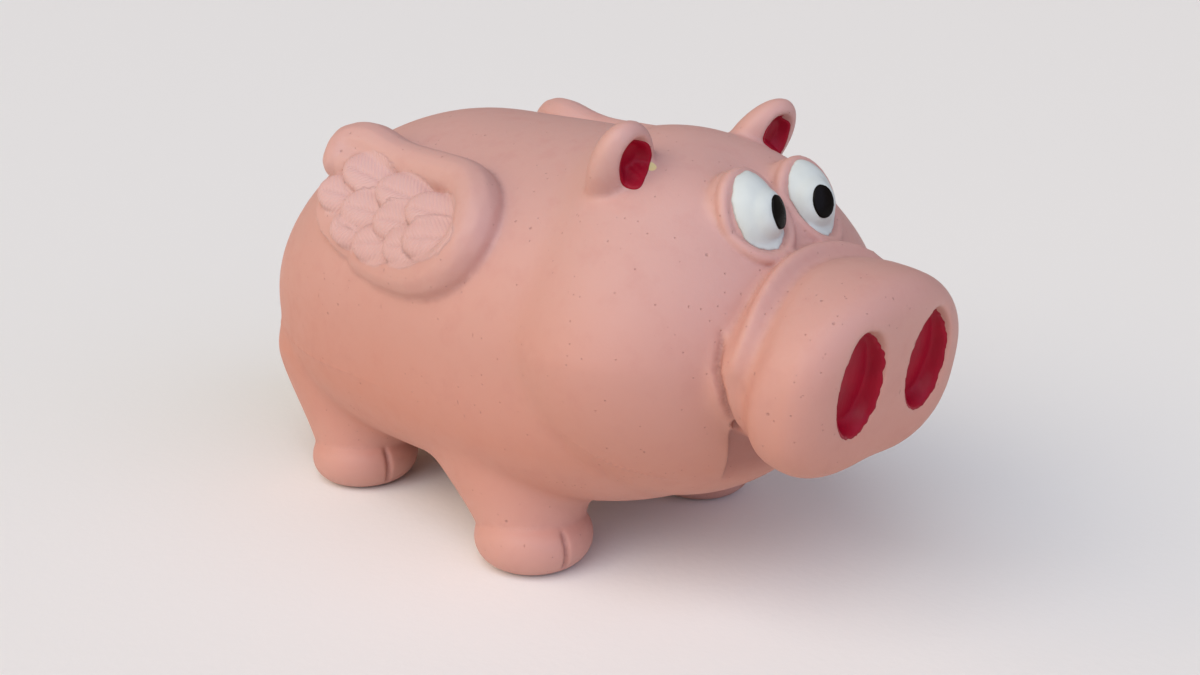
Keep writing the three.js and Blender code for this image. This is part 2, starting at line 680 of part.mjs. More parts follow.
function whistleSolid() {
  const barrel = turned(
    [
      [WHISTLE_BORE / 2, whistleBottom],
      [WHISTLE_DIAMETER / 2, whistleBottom],
      [WHISTLE_DIAMETER / 2, flangeBottom],
      [WHISTLE_FLANGE / 2, flangeBottom],
      [WHISTLE_FLANGE / 2, flangeTop],
      [WHISTLE_BORE / 2, flangeTop],
    ],
    20,
  );
  const slotLength = REED_LENGTH - CLIP_LENGTH + GAP;
  const slot = new THREE.BoxGeometry(slotLength, REED_WIDTH + 2 * GAP, WHISTLE_FLANGE_THICKNESS);
  slot.translate(clipX + CLIP_LENGTH / 2 + slotLength / 2, 0, flangeTop);
  return solid(barrel).subtract(solid(slot));
}

function clipSolid() {
  const width = REED_WIDTH + 2 * CLIP_SHOULDER;
  const block = new THREE.BoxGeometry(CLIP_LENGTH, width, CLIP_HEIGHT);
  block.translate(clipX, 0, reedBottom + CLIP_HEIGHT / 2);
  const groove = new THREE.BoxGeometry(2 * CLIP_LENGTH, REED_WIDTH + 2 * GAP, 2 * (REED_THICKNESS + GAP));
  return solid(block).subtract(solid(groove.translate(clipX, 0, reedBottom)));
}

function reedGeometry() {
  const reed = new THREE.BoxGeometry(REED_LENGTH, REED_WIDTH, REED_THICKNESS);
  return reed.translate(clipX - CLIP_LENGTH / 2 + REED_LENGTH / 2, 0, reedBottom + REED_THICKNESS / 2);
}

// Stuffing. The torso's wad has a pocket for the squeaker, and the wads beside it are cut by the larger ones.
const pocketDiameter = 2 * Math.max(flangeRadius, SQUEAKER_DIAMETER / 2) + 2 * POCKET_CLEARANCE;
const pocket = post(pocketDiameter, below, squeakerTop + POCKET_CLEARANCE, 24);
const torsoStuffing = torsoSolid(WALL + GAP, INNER).subtract(pocket);
const headStuffing = cut(
  headSolid(WALL + GAP, INNER).add(snoutSolid(WALL + GAP, NOSTRIL_DEPTH + WALL + GAP, INNER)),
  [torsoSolid(WALL, INNER)],
);
const legStuffing = (leg, side) =>
  cut(shankSolid(leg, side, WALL + GAP, SOLE + GAP, INNER), [torsoSolid(WALL, INNER), headSolid(WALL, INNER)]);

// Coats of coloured latex
const aroundSnout = snoutSolid(-GAP, 0, OUTER);
const rims = pairOf(() => rimGeometry(GAP));
function eyeWhite(side) {
  const coat = onSide(eyeGeometry(GAP + COAT), side).subtract(onSide(eyeGeometry(GAP), side));
  return cut(coat.intersect(onSide(eyeFrontGeometry(), side)), [aroundHead, aroundSnout, ...rims]);
}
function pupil(side) {
  const coat = onSide(eyeGeometry(2 * (GAP + COAT)), side).subtract(onSide(eyeGeometry(2 * GAP + COAT), side));
  return coat.intersect(onSide(pupilOutlineGeometry(), side));
}
function nostrilPaint(side) {
  const outside = onSide(nostrilGeometry(GAP, -COAT), side);
  return outside.subtract(onSide(nostrilGeometry(GAP + COAT, NOSTRIL_DEPTH), side));
}
function earPaint(side) {
  const coat = onSide(earCupGeometry(GAP), side).subtract(onSide(earCupGeometry(GAP + COAT), side));
  return coat.intersect(onSide(earBackGeometry(), side)).subtract(aroundHead);
}

// Colours and surfaces, one of its own for each piece
function finish(color, roughness) {
  return new THREE.MeshStandardMaterial({ color, roughness, metalness: 0 });
}
const pinkLatex = () => finish("#d9a196", 0.62);
const fibre = () => finish("#eeebe4", 0.95);
const whiteLatex = () => finish("#e4e5e0", 0.4);
const blackLatex = () => finish("#171310", 0.3);
const crimsonLatex = () => finish("#93192f", 0.45);
const milkyPlastic = () => finish("#e6e3d8", 0.4);
const softPlastic = () => finish("#d9d8d0", 0.5);
const reedPlastic = () => finish("#b9c4c9", 0.3);

function piece(name, shape, material) {
  const geometry = shape.isBufferGeometry ? shape : geometryOf(shape);
  const mesh = new THREE.Mesh(geometry, material);
  mesh.name = name;
  return mesh;
}

const toy = new THREE.Group();
toy.add(piece("torso_skin", torsoSkin, pinkLatex()));
toy.add(piece("head_skin", headSkin, pinkLatex()));
toy.add(piece("snout_skin", snoutSkin, pinkLatex()));
toy.add(piece("tail_skin", tailSkin, pinkLatex()));
toy.add(piece("belly_plug", bellyPlug, pinkLatex()));
toy.add(piece("torso_stuffing", torsoStuffing, fibre()));
toy.add(piece("head_stuffing", headStuffing, fibre()));
for (const side of SIDES) {
  const hand = side === LEFT ? "left" : "right";
  toy.add(piece(`${hand}_ear_skin`, earSkin(side), pinkLatex()));
  toy.add(piece(`${hand}_wing_skin`, wingSkin(side), pinkLatex()));
  for (const leg of legs) {
    toy.add(piece(`${hand}_${leg.name}_leg_skin`, legSkin(leg, side), pinkLatex()));
    toy.add(piece(`${hand}_${leg.name}_leg_stuffing`, legStuffing(leg, side), fibre()));
  }
  toy.add(piece(`${hand}_eye_white`, eyeWhite(side), whiteLatex()));
  toy.add(piece(`${hand}_pupil`, pupil(side), blackLatex()));
  toy.add(piece(`${hand}_nostril_paint`, nostrilPaint(side), crimsonLatex()));
  toy.add(piece(`${hand}_ear_paint`, earPaint(side), crimsonLatex()));
}

const squeaker = new THREE.Group();
squeaker.position.set(PLUG_X, 0, squeakerBottom);
squeaker.add(piece("squeaker_base", cuffedDisc(WHISTLE_DIAMETER + 2 * GAP), milkyPlastic()));
const bellows = piece("squeaker_bellows", bellowsGeometry(), softPlastic());
bellows.position.z = SQUEAKER_PLATE + GAP;
squeaker.add(bellows);
const crown = piece("squeaker_crown", cuffedDisc(CROWN_DIMPLE), milkyPlastic());
crown.position.z = SQUEAKER_HEIGHT;
crown.rotation.x = Math.PI;
squeaker.add(crown);
squeaker.add(piece("whistle_barrel", whistleSolid(), milkyPlastic()));
squeaker.add(piece("whistle_clip", clipSolid(), milkyPlastic()));
squeaker.add(piece("whistle_reed", reedGeometry(), reedPlastic()));
toy.add(squeaker);

// The group is set so that the middle of its box lies over the origin.
toy.position.x = -new THREE.Box3().setFromObject(toy).getCenter(new THREE.Vector3()).x;

export default toy;
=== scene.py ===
# %% [markdown]
# # A squeaky latex pig with wings
#
# The real toy is one hollow skin of pink latex, poured in a mould, stuffed with polyester fibre round a
# concertina squeaker, and dabbed with coloured latex for its eyes, nostrils and ears. The CAD model
# splits that skin at its creases so that each form can be one simple solid. Here the forms are fused
# again, because the eye notices at once when a moulded toy has gaps where it should have soft folds.
#
# The lesson goes from the outside in: camera, skin, coloured coats, stuffing, squeaker, finishes and
# light. Shapes are drawn in millimetres and made metres at the end of each piece.

# %% The frame
import json
import math

import bmesh
import bpy
import numpy as np
from mathutils import Matrix, Vector, noise
from mathutils.bvhtree import BVHTree


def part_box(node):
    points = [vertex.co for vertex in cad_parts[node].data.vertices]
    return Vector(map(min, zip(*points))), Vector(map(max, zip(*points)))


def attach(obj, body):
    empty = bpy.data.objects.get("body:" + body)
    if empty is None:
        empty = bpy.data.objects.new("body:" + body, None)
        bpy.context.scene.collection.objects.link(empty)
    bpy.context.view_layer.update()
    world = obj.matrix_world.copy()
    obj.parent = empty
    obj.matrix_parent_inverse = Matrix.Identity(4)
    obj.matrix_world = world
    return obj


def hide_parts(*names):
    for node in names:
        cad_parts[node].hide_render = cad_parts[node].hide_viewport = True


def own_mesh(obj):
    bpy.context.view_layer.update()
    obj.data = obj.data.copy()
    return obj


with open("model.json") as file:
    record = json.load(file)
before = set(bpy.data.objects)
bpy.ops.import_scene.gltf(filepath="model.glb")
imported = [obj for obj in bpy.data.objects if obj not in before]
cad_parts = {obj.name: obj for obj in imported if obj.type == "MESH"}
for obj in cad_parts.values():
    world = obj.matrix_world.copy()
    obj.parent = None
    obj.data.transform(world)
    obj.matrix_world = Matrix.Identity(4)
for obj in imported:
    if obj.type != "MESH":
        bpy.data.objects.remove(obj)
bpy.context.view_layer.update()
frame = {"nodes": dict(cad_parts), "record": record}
MM = 0.001
soles = {mount["name"]: mount["pos_m"] for mount in frame["record"]["mounts"]}
print("soles", soles)

# %% [markdown]
# ## The camera
#
# The photograph was taken close to the toy, so the snout looks large beside the rump. A long lens would
# lose that. The angle, the distance and the lens were worked out from pairs of features that mirror
# each other, such as the two eyes and the two nostrils, and are set here as numbers.

# %% Camera
IMAGE_WIDTH = 1200
FOCAL_PIXELS = 1305.1
AZIMUTH = math.radians(45.55)
ELEVATION = math.radians(17.79)
TARGET = Vector((0.00896, 0.0, 0.04248))
DISTANCE = 0.2941


def as_object(name, data):
    """Puts a camera, a lamp or a mesh in the scene."""
    made = bpy.data.objects.new(name, data)
    bpy.context.scene.collection.objects.link(made)
    return made


camera = as_object("camera", bpy.data.cameras.new("camera"))
camera.data.sensor_width = 36.0
camera.data.lens = FOCAL_PIXELS * camera.data.sensor_width / IMAGE_WIDTH
camera.data.clip_start = 0.01
level = math.cos(ELEVATION)
back = Vector((math.sin(AZIMUTH) * level, -math.cos(AZIMUTH) * level, math.sin(ELEVATION)))
camera.location = TARGET + back * DISTANCE
camera.rotation_euler = (-back).to_track_quat("-Z", "Y").to_euler()
bpy.context.scene.camera = camera
print("camera at", list(camera.location), "lens", round(camera.data.lens, 2))

# %% [markdown]
# ## Fusing and softening
#
# A moulder's clay original has no edges where a leg meets the belly: the clay is smoothed in with a
# thumb. Two helpers do the same. The first fuses overlapping forms with a voxel remesh, which keeps
# only the outside. The second moves every point towards the middle of its neighbours, and can work on
# the hollows alone, so that creases fill while the swells keep their size. Two more say where: a ramp
# from 0 to 1 along a value, and a ramp up and down again.

# %% Helpers for fused skins
SOFTENING = 0.6


def mesh_of(bm, name):
    """Makes a mesh of a bmesh, and frees the bmesh."""
    mesh = bpy.data.meshes.new(name)
    bm.to_mesh(mesh)
    bm.free()
    return mesh


def settled(thing):
    """Puts an object's modifiers into its mesh."""
    drawn = thing.data
    depsgraph = bpy.context.evaluated_depsgraph_get()
    thing.data = bpy.data.meshes.new_from_object(thing.evaluated_get(depsgraph))
    thing.modifiers.clear()
    bpy.data.meshes.remove(drawn)
    return thing


def fused(bm, voxel):
    """One even skin round everything that is drawn in a bmesh."""
    carrier = as_object("carrier", mesh_of(bm, "drawn"))
    remesh = carrier.modifiers.new("fuse", "REMESH")
    remesh.mode = "VOXEL"
    remesh.voxel_size = voxel
    made = settled(carrier).data
    bpy.data.objects.remove(carrier)
    return made


def vectors_of(values, key):
    flat = np.empty(len(values) * 3, np.float32)
    values.foreach_get(key, flat)
    return flat.reshape(-1, 3).astype(float)


def points_of(mesh):
    return vectors_of(mesh.vertices, "co")


def normals_of(mesh):
    return vectors_of(mesh.vertex_normals, "vector")


def set_points(mesh, points):
    mesh.vertices.foreach_set("co", points.astype(np.float32).ravel())
    mesh.update()


def neighbour_mean(mesh):
    """A function that gives each point the mean of its neighbours' values."""
    edges = np.empty(len(mesh.edges) * 2, np.int32)
    mesh.edges.foreach_get("vertices", edges)
    one, other = edges.reshape(-1, 2).T
    size = len(mesh.vertices)
    neighbours = np.bincount(one, minlength=size) + np.bincount(other, minlength=size)

    def mean(values):
        total = np.bincount(one, values[other], size) + np.bincount(other, values[one], size)
        return total / neighbours

    return mean


def mean_vectors(mean, vectors):
    return np.column_stack([mean(axis) for axis in vectors.T])


def pull_of(mesh, mean):
    """How far each point lies from the middle of its neighbours, as vectors, and along its normal."""
    points = points_of(mesh)
    pull = mean_vectors(mean, points) - points
    return pull, (pull * normals_of(mesh)).sum(1)


def soften(mesh, rounds, swells=1.0, hollows=1.0, where=1.0):
    mean = neighbour_mean(mesh)
    for _ in range(rounds):
        pull, outwards = pull_of(mesh, mean)
        share = np.where(outwards > 0, hollows, swells) * where
        set_points(mesh, points_of(mesh) + SOFTENING * share[:, None] * pull)


def ramp(values, low, high):
    """From 0 at the low value to 1 at the high one, with a soft start and end."""
    share = np.clip((values - low) / (high - low), 0, 1)
    return share * share * (3 - 2 * share)


def within(values, start, full, fading, end):
    """A ramp from 0 to 1 over the first two values, and back to 0 over the last two."""
    return ramp(values, start, full) * ramp(-values, -end, -fading)


def on_left(points):
    """Points with the right side folded over to the left."""
    return np.column_stack([points[:, 0], np.abs(points[:, 1]), points[:, 2]])


def distance_to(points, place):
    """How far points lie from a place that is given for the left side, or from its mirror image."""
    return np.linalg.norm(on_left(points) - np.array(place), axis=1)


print("helpers ready")

# %% [markdown]
# ## Torso and head
#
# Each is a lobe: a sphere whose front and rear halves have their own length and fullness. The rump
# sags, the belly is squared so that it hangs full between the legs, and the crown is narrower than the
# jowls. Places and lengths are those of the CAD source, in the same frame, so the skin lies where the
# collision forms are. An inset draws the same lobe smaller, which will be the hollow inside.

# %% Lobes
TINY = 1e-9
TORSO = {
    "centre": Vector((-28.46, 0, 50.5)),
    "rear": 60.5,
    "front": 84.0,
    "rear_fullness": 2.07,
    "front_fullness": 4.0,
    "belly_fullness": 2.8,
    "half_width": 45.5,
    "half_height": 39.5,
    "sag": 16.0,
    "taper": 0.0,
    "slope": 0.0,
}
HEAD = {
    "centre": Vector((39.54, 0, 55)),
    "rear": 38.0,
    "front": 31.0,
    "rear_fullness": 2.0,
    "front_fullness": 2.0,
    "belly_fullness": 2.0,
    "half_width": 44.5,
    "half_height": 37.5,
    "sag": 0.0,
    "taper": 0.2,
    "slope": 9.0,
}


def squared(across, up, power):
    """How far a circle's edge moves out in one direction when the circle is squared."""
    radius = math.hypot(across, up)
    if radius < TINY:
        return 1.0
    return (abs(across / radius) ** power + abs(up / radius) ** power) ** (-1 / power)


def add_lobe(bm, lobe, inset=0.0):
    along_x = Matrix.Rotation(math.pi / 2, 4, "Y")
    ball = bmesh.ops.create_uvsphere(bm, u_segments=72, v_segments=48, radius=1.0, matrix=along_x)
    for vert in ball["verts"]:
        x, y, z = vert.co
        end = "rear" if x < 0 else "front"
        power = 2 / lobe[end + "_fullness"]
        radius = math.hypot(y, z)
        station = math.copysign(abs(x) ** power, x)
        swell = radius**power / radius if radius > TINY else 0.0
        if z < 0:
            swell *= squared(y, z, 2 + (lobe["belly_fullness"] - 2) * (1 - x * x))
        up = max(0.0, z)
        droop = lobe["sag"] * station**2 if x < 0 else 0.0
        along = station * (lobe[end] - inset) - lobe["slope"] * up**2
        across = y * swell * (1 - lobe["taper"] * up) * (lobe["half_width"] - inset)
        height = z * swell * (lobe["half_height"] - inset) - droop
        vert.co = lobe["centre"] + Vector((along, across, height))


def torso_at(x):
    """Height of the torso's middle, and its half width and half height, at a place along X."""
    along = x - TORSO["centre"].x
    end = "rear" if along < 0 else "front"
    station = min(1.0, abs(along) / TORSO[end])
    fullness = TORSO[end + "_fullness"]
    share = (1 - station**fullness) ** (1 / fullness)
    droop = TORSO["sag"] * station**2 if along < 0 else 0.0
    return TORSO["centre"].z - droop, share * TORSO["half_width"], share * TORSO["half_height"]


print("torso at its widest", torso_at(TORSO["centre"].x))

# %% [markdown]
# ## Legs
#
# A leg is a profile spun round a vertical axis: a short shank that flares into a thigh with a domed
# top. Then it is leaned, so that the thigh lies behind and inside its foot. A pig's trotter is a
# separate round pad under it, spun from its own profile, and it is fused later so that the ring above
# it stays crisp. When torso, head and legs are one form, the hollows are softened, most of all behind
# the legs, and the brow over each eye is swelled a little.

# %% Legs and feet
FORE = {"x": soles["right_front_sole"][0] / MM, "thigh": 58.0, "lean": 14.0, "flare": 14.0}
HIND = {"x": soles["right_rear_sole"][0] / MM, "thigh": 46.5, "lean": 8.0, "flare": 9.0}
LEGS = (FORE, HIND)
SIDES = {"right": -1, "left": 1}
FOOT_Y = soles["left_front_sole"][1] / MM
FOOT_RADIUS = 13.0
FOOT_HEIGHT = 12.0
FOOT_ROUND = math.radians(150)
ANKLE = 22.6
SHANK_CURVE = 1.4
THIGH_WIDTH = 40.0
THIGH_Z = 32.0
THIGH_DOME = 14.0
FLARE_CURVE = 0.7
LEAN_IN = 7.0
BROW_PLACE = (50.0, 13.0, 84.0)
BROW_RADIUS = 9.0
BROW_RISE = 1.2
BASE_VOXEL = 1.2
BASE_SWELLS = 0.03


def spun(bm, profile, steps=48, closed=False):
    """A form spun round the Z axis from a profile of radius and height, which may close on itself."""
    row = [bm.verts.new((radius, 0, height)) for radius, height in profile]
    following = row[1:] + row[:1] if closed else row[1:]
    geometry = row + [bm.edges.new(pair) for pair in zip(row, following)]
    turn = {"cent": (0, 0, 0), "axis": (0, 0, 1), "angle": 2 * math.pi}
    bmesh.ops.spin(bm, geom=geometry, steps=steps, use_merge=True, **turn)
    bmesh.ops.remove_doubles(bm, verts=bm.verts, dist=1e-4)
    bmesh.ops.recalc_face_normals(bm, faces=bm.faces)


def arc(middle, half, start, sweep, steps):
    """Points of a profile on a stretched arc."""
    points = []
    for step in range(steps + 1):
        turn = start + sweep * step / steps
        points.append((middle[0] + half[0] * math.cos(turn), middle[1] + half[1] * math.sin(turn)))
    return points


def add_copy(bm, part):
    """Adds one bmesh to another and frees it."""
    scrap = mesh_of(part, "scrap")
    bm.from_mesh(scrap)
    bpy.data.meshes.remove(scrap)


def add_shank(bm, leg, side, inset=0.0, low=FOOT_HEIGHT / 2):
    profile = [(0, low)]
    for step in range(9):
        share = step / 8
        radius = (ANKLE + (leg["thigh"] - ANKLE) * share**SHANK_CURVE) / 2 - inset
        profile.append((radius, low + (THIGH_Z - low) * share))
    dome_half = (leg["thigh"] / 2 - inset, THIGH_DOME - inset)
    profile += arc((0, THIGH_Z), dome_half, 0, math.pi / 2, 8)[1:]
    shank = bmesh.new()
    spun(shank, profile)
    for vert in shank.verts:
        rise = max(0.0, (vert.co.z - low) / (THIGH_Z - low))
        on_thigh = min(1.0, rise)
        narrow = 1 + (THIGH_WIDTH / leg["thigh"] - 1) * on_thigh
        behind = max(0.0, -vert.co.x) / (leg["thigh"] / 2)
        flare = leg["flare"] * behind * max(0.0, math.sin(math.pi * on_thigh)) ** FLARE_CURVE
        vert.co.x += leg["x"] - leg["lean"] * rise - flare
        vert.co.y = side * FOOT_Y + vert.co.y * narrow - side * LEAN_IN * rise
    add_copy(bm, shank)


def add_foot(bm, leg, side):
    half = FOOT_HEIGHT / 2
    edge = arc((FOOT_RADIUS - half, half), (half, half), -math.pi / 2, FOOT_ROUND, 12)
    foot = bmesh.new()
    spun(foot, [(0, 0), *edge, (0, FOOT_HEIGHT)])
    bmesh.ops.translate(foot, verts=foot.verts, vec=(leg["x"], side * FOOT_Y, 0))
    add_copy(bm, foot)


body = bmesh.new()
add_lobe(body, TORSO)
add_lobe(body, HEAD)
for side in SIDES.values():
    for leg in LEGS:
        add_shank(body, leg, side)
base = fused(body, BASE_VOXEL)
x, y, z = points_of(base).T
low = ramp(-z, -44, -34)
behind_legs = low * ramp(-x, -16, -6)
before_legs = low * ramp(x, 12, 20)
soften(base, 10, swells=BASE_SWELLS, where=1 - 0.75 * before_legs)
soften(base, 14, swells=BASE_SWELLS, where=behind_legs)
points = points_of(base)
brow = np.exp(-((distance_to(points, BROW_PLACE) / BROW_RADIUS) ** 2))
set_points(base, points + normals_of(base) * (BROW_RISE * brow)[:, None])
print("base form", len(base.vertices), "points")

# %% [markdown]
# ## Snout
#
# A barrel spun from a profile, then squared at the chin, notched under the lip and tipped so that its
# face looks down. Behind the barrel the profile narrows to a groove that lies further back at the top,
# a wrinkle stands up behind the groove in front of the eyes, and the neck flares into the cheeks. New
# forms are drawn in a bmesh of their own and meet the body only when they are fused, which is quicker.

# %% Snout
SNOUT_FACE = Matrix.Translation((85.9, 0, 51.0)) @ Matrix.Rotation(math.radians(9), 4, "Y")
SNOUT_HALF_WIDTH = 27.2
SNOUT_HALF_HEIGHT = 19.7
SNOUT_ROUND = 6.5
SNOUT_TOP_FULLNESS = 2.05
SNOUT_CHIN_FULLNESS = 2.8
SNOUT_CHIN_HEIGHT = 0.955
LIP_NOTCH = 0.05
LIP_NOTCH_WIDTH = 8.0
SNOUT_PROFILE = [(0, 34), (0.78, 34), (0.82, 22), (0.85, 20.5), (0.86, 19.5), (0.86, 18.5), (0.86, 17.5)]
SNOUT_PROFILE += [(0.86, 16.5), (0.86, 15.5), (0.86, 14.6), (0.875, 13.5), (0.925, 12.4), (0.97, 11.2)]
SNOUT_PROFILE += [(0.992, 9.6), (1.0, 8.0)]
WRINKLE_DEPTH = 16.7
WRINKLE_HALF_WIDTH = 2.2
WRINKLE_RISE = 0.2
WRINKLE_CURVE = 0.4
GROOVE_BACK = 5.5
GROOVE_CURVE = 2.4
GROOVE_BLEND = 6.0
SIDE_FILL = 0.08
SIDE_FLARE = 0.016
SIDE_FLARE_FROM = 14.5
SIDE_MIDDLE = -0.1
SIDE_SPREAD = 0.45


def add_snout(bm, inset=0.0, face_wall=0.0):
    share = SNOUT_ROUND / SNOUT_HALF_HEIGHT
    profile = [(radius, -depth) for radius, depth in SNOUT_PROFILE if depth > face_wall + SNOUT_ROUND]
    profile += arc((1 - share, -face_wall - SNOUT_ROUND), (share, SNOUT_ROUND), 0, math.pi / 2, 8)
    profile.append((0, -face_wall))
    barrel = bmesh.new()
    spun(barrel, profile, steps=64)
    along_x = Matrix.Rotation(math.pi / 2, 3, "Y")
    bmesh.ops.rotate(barrel, verts=barrel.verts, cent=(0, 0, 0), matrix=along_x)
    for vert in barrel.verts:
        radius = math.hypot(vert.co.y, vert.co.z)
        if radius < TINY:
            continue
        above = vert.co.z > 0
        square = squared(vert.co.y, vert.co.z, SNOUT_TOP_FULLNESS if above else SNOUT_CHIN_FULLNESS)
        sine = vert.co.z / radius
        up = max(0.0, sine)
        depth = -vert.co.x
        behind = min(1.0, max(0.0, (depth - SNOUT_ROUND) / GROOVE_BLEND))
        on_wrinkle = math.exp(-(((depth - WRINKLE_DEPTH) / WRINKLE_HALF_WIDTH) ** 2))
        at_side = math.exp(-(((sine - SIDE_MIDDLE) / SIDE_SPREAD) ** 2))
        flare = SIDE_FILL * behind + SIDE_FLARE * max(0.0, depth - SIDE_FLARE_FROM)
        rise = 1 + WRINKLE_RISE * up**WRINKLE_CURVE * on_wrinkle + flare * at_side
        vert.co.x -= GROOVE_BACK * behind * up**GROOVE_CURVE
        vert.co.y *= square * rise * (SNOUT_HALF_WIDTH - inset)
        vert.co.z *= square * rise * (SNOUT_HALF_HEIGHT - inset)
        if not above:
            vert.co.z *= SNOUT_CHIN_HEIGHT - LIP_NOTCH * math.exp(-((vert.co.y / LIP_NOTCH_WIDTH) ** 2))
    bmesh.ops.transform(barrel, verts=barrel.verts, matrix=SNOUT_FACE)
    add_copy(bm, barrel)


features = bmesh.new()
add_snout(features)
print("snout drawn with", len(features.verts), "points")

# %% [markdown]
# ## Eyes and ears
#
# The eyes are domes that look up a little, each in a wider and flatter socket. An ear is a flattened
# egg that leans forward and out, half sunk in the crown, and its cup will be pressed in later. Left and
# right share one set of numbers, given for the left side.

# %% Eyes and ears
EYE_HALF = Vector((7.0, 7.0, 8.8))
EYE_PLACE = Vector((55.6, 8.5, 79.0))
EYE_TURNS = [("Y", -21)]
SOCKET_HALF = Vector((4.8, 8.4, 9.8))
SOCKET_DROP = 0.6
EAR_HALF = Vector((4.9, 7.75, 12.06))
EAR_PLACE = Vector((34.9, 20.2, 86.4))
EAR_TURNS = [("X", -24.4), ("Y", 27.7), ("Z", 7.7)]


def frame_at(place, side, turns):
    """A frame on one side of the pig. Turns are pairs of axis and degrees for the left side."""
    matrix = Matrix.Translation((place.x, side * place.y, place.z))
    for axis, degrees in turns:
        flip = 1 if axis == "Y" else side
        matrix = matrix @ Matrix.Rotation(math.radians(flip * degrees), 4, axis)
    return matrix


def eye_frame(side):
    return frame_at(EYE_PLACE, side, EYE_TURNS)


def ear_frame(side):
    return frame_at(EAR_PLACE, side, EAR_TURNS)


def add_egg(bm, half, matrix):
    stretched = matrix @ Matrix.Diagonal(half.to_4d())
    bmesh.ops.create_uvsphere(bm, u_segments=40, v_segments=24, radius=1.0, matrix=stretched)


for side in SIDES.values():
    add_egg(features, EYE_HALF, eye_frame(side))
    add_egg(features, SOCKET_HALF, eye_frame(side) @ Matrix.Translation((0, 0, -SOCKET_DROP)))
    add_egg(features, EAR_HALF, ear_frame(side))
print("eyes and ears drawn,", len(features.verts), "points so far")

# %% [markdown]
# ## Wings and tail
#
# The wings are relief on the flanks. It is easiest to draw it flat, with one number back along the
# flank, one up it and one out of it, and to wrap that on the torso. A fleshy roll runs from the tip
# along the top and round the front, and a lobe lies under its tip. A roll or a tail is easiest as a
# string of overlapping balls: after the remesh it is a smooth tube, and each ball may have its own
# radius. The tail can't be seen in the photograph, and is a small curl on the rump.

# %% Wing roll and tail
WING_X = -12.46
WING_RISE = math.radians(33.5)
WING_LENGTH = 58.0
WING_FLARE = 4.0
BED_PLACE = (3.0, 0.5)
BED_HALF = (24.0, 13.0, 1.8)
ROLL = [
    (26.0, 9.2, 0.3, 5.0),
    (26.0, 12.6, 0.6, 5.5),
    (20.4, 14.0, 0.7, 5.5),
    (10.0, 12.9, 0.7, 4.9),
    (-4.0, 12.2, 0.9, 4.8),
    (-15.0, 10.8, 1.0, 4.9),
    (-22.0, 6.0, 1.0, 5.1),
    (-24.5, -0.6, 0.8, 5.1),
    (-21.0, -7.2, 0.3, 4.9),
    (-13.0, -11.0, -0.5, 4.6),
    (-2.0, -12.0, -1.3, 4.2),
    (8.0, -10.8, -2.2, 3.8),
]
LOBE = [(23.0, 8.8, -0.2, 4.7), (18.0, 9.8, -0.7, 4.5), (13.0, 10.2, -1.0, 4.2)]
TAIL_BEADS = 70
TAIL_Z = 58.0
TAIL_REACH = 7.5
TAIL_CLOSING = 4.8
TAIL_START = 100.0
TAIL_SWEEP = 430.0
TAIL_LIFT = 0.582
TAIL_STEP_OUT = 0.97
TAIL_RADIUS = 2.2
TAIL_THINNING = 0.4
RELIEF_VOXEL = 0.65


def add_string(bm, beads):
    """Overlapping balls from a list of places and radii."""
    for place, radius in beads:
        bmesh.ops.create_icosphere(bm, subdivisions=2, radius=radius, matrix=Matrix.Translation(place))


def smooth_path(stations, steps):
    """Points on a smooth curve through the stations, whatever numbers each of them holds."""
    given = np.array(stations, float)
    ends = np.vstack([2 * given[0] - given[1], given, 2 * given[-1] - given[-2]])
    made = []
    for index in range(1, len(ends) - 2):
        before, start, end, after = ends[index - 1 : index + 3]
        for t in np.linspace(0, 1, steps, endpoint=False):
            cubic = (3 * start - before - 3 * end + after) * t**3
            square = (2 * before - 5 * start + 4 * end - after) * t**2
            made.append((2 * start + (end - before) * t + square + cubic) / 2)
    made.append(ends[-2])
    return made


def on_flank(back, up, out, side):
    x = WING_X - back
    middle, half_width, half_height = torso_at(x)
    angle = WING_RISE + 2 * up / (TORSO["half_width"] + TORSO["half_height"])
    normal = Vector((math.cos(angle) * TORSO["half_height"], math.sin(angle) * TORSO["half_width"]))
    normal.normalize()
    stand_off = out + 4 * WING_FLARE * max(0.0, back / WING_LENGTH) ** 2
    y = half_width * math.cos(angle) + normal.x * stand_off
    z = middle + half_height * math.sin(angle) + normal.y * stand_off
    return Vector((x, side * y, z))


def add_wing(bm, side):
    beads = smooth_path(ROLL, 9) + smooth_path(LOBE, 6)
    add_string(bm, [(on_flank(*bead[:3], side), bead[3]) for bead in beads])
    bed = bmesh.ops.create_uvsphere(bm, u_segments=40, v_segments=20, radius=1.0)["verts"]
    for vert in bed:
        along = BED_PLACE[0] + BED_HALF[0] * vert.co.x
        across = BED_PLACE[1] + BED_HALF[1] * vert.co.y
        vert.co = on_flank(along, across, BED_HALF[2] * vert.co.z, side)


def rump_x(y, z):
    """Where the rump's surface lies, found by halving the range thirty times."""
    inside = TORSO["centre"].x
    outside = inside - TORSO["rear"]
    for _ in range(30):
        x = (inside + outside) / 2
        middle, half_width, half_height = torso_at(x)
        filled = math.hypot(y / max(half_width, TINY), (z - middle) / max(half_height, TINY)) < 1
        inside, outside = (x, outside) if filled else (inside, x)
    return inside


def tail_beads():
    beads = []
    for step in range(TAIL_BEADS):
        share = step / (TAIL_BEADS - 1)
        turn = math.radians(TAIL_START + TAIL_SWEEP * share)
        reach = TAIL_REACH - TAIL_CLOSING * share
        y = reach * math.cos(turn)
        z = TAIL_Z + reach * math.sin(turn)
        x = rump_x(y, z) - TAIL_LIFT - TAIL_STEP_OUT * share
        beads.append((Vector((x, y, z)), TAIL_RADIUS - TAIL_THINNING * share))
    return beads


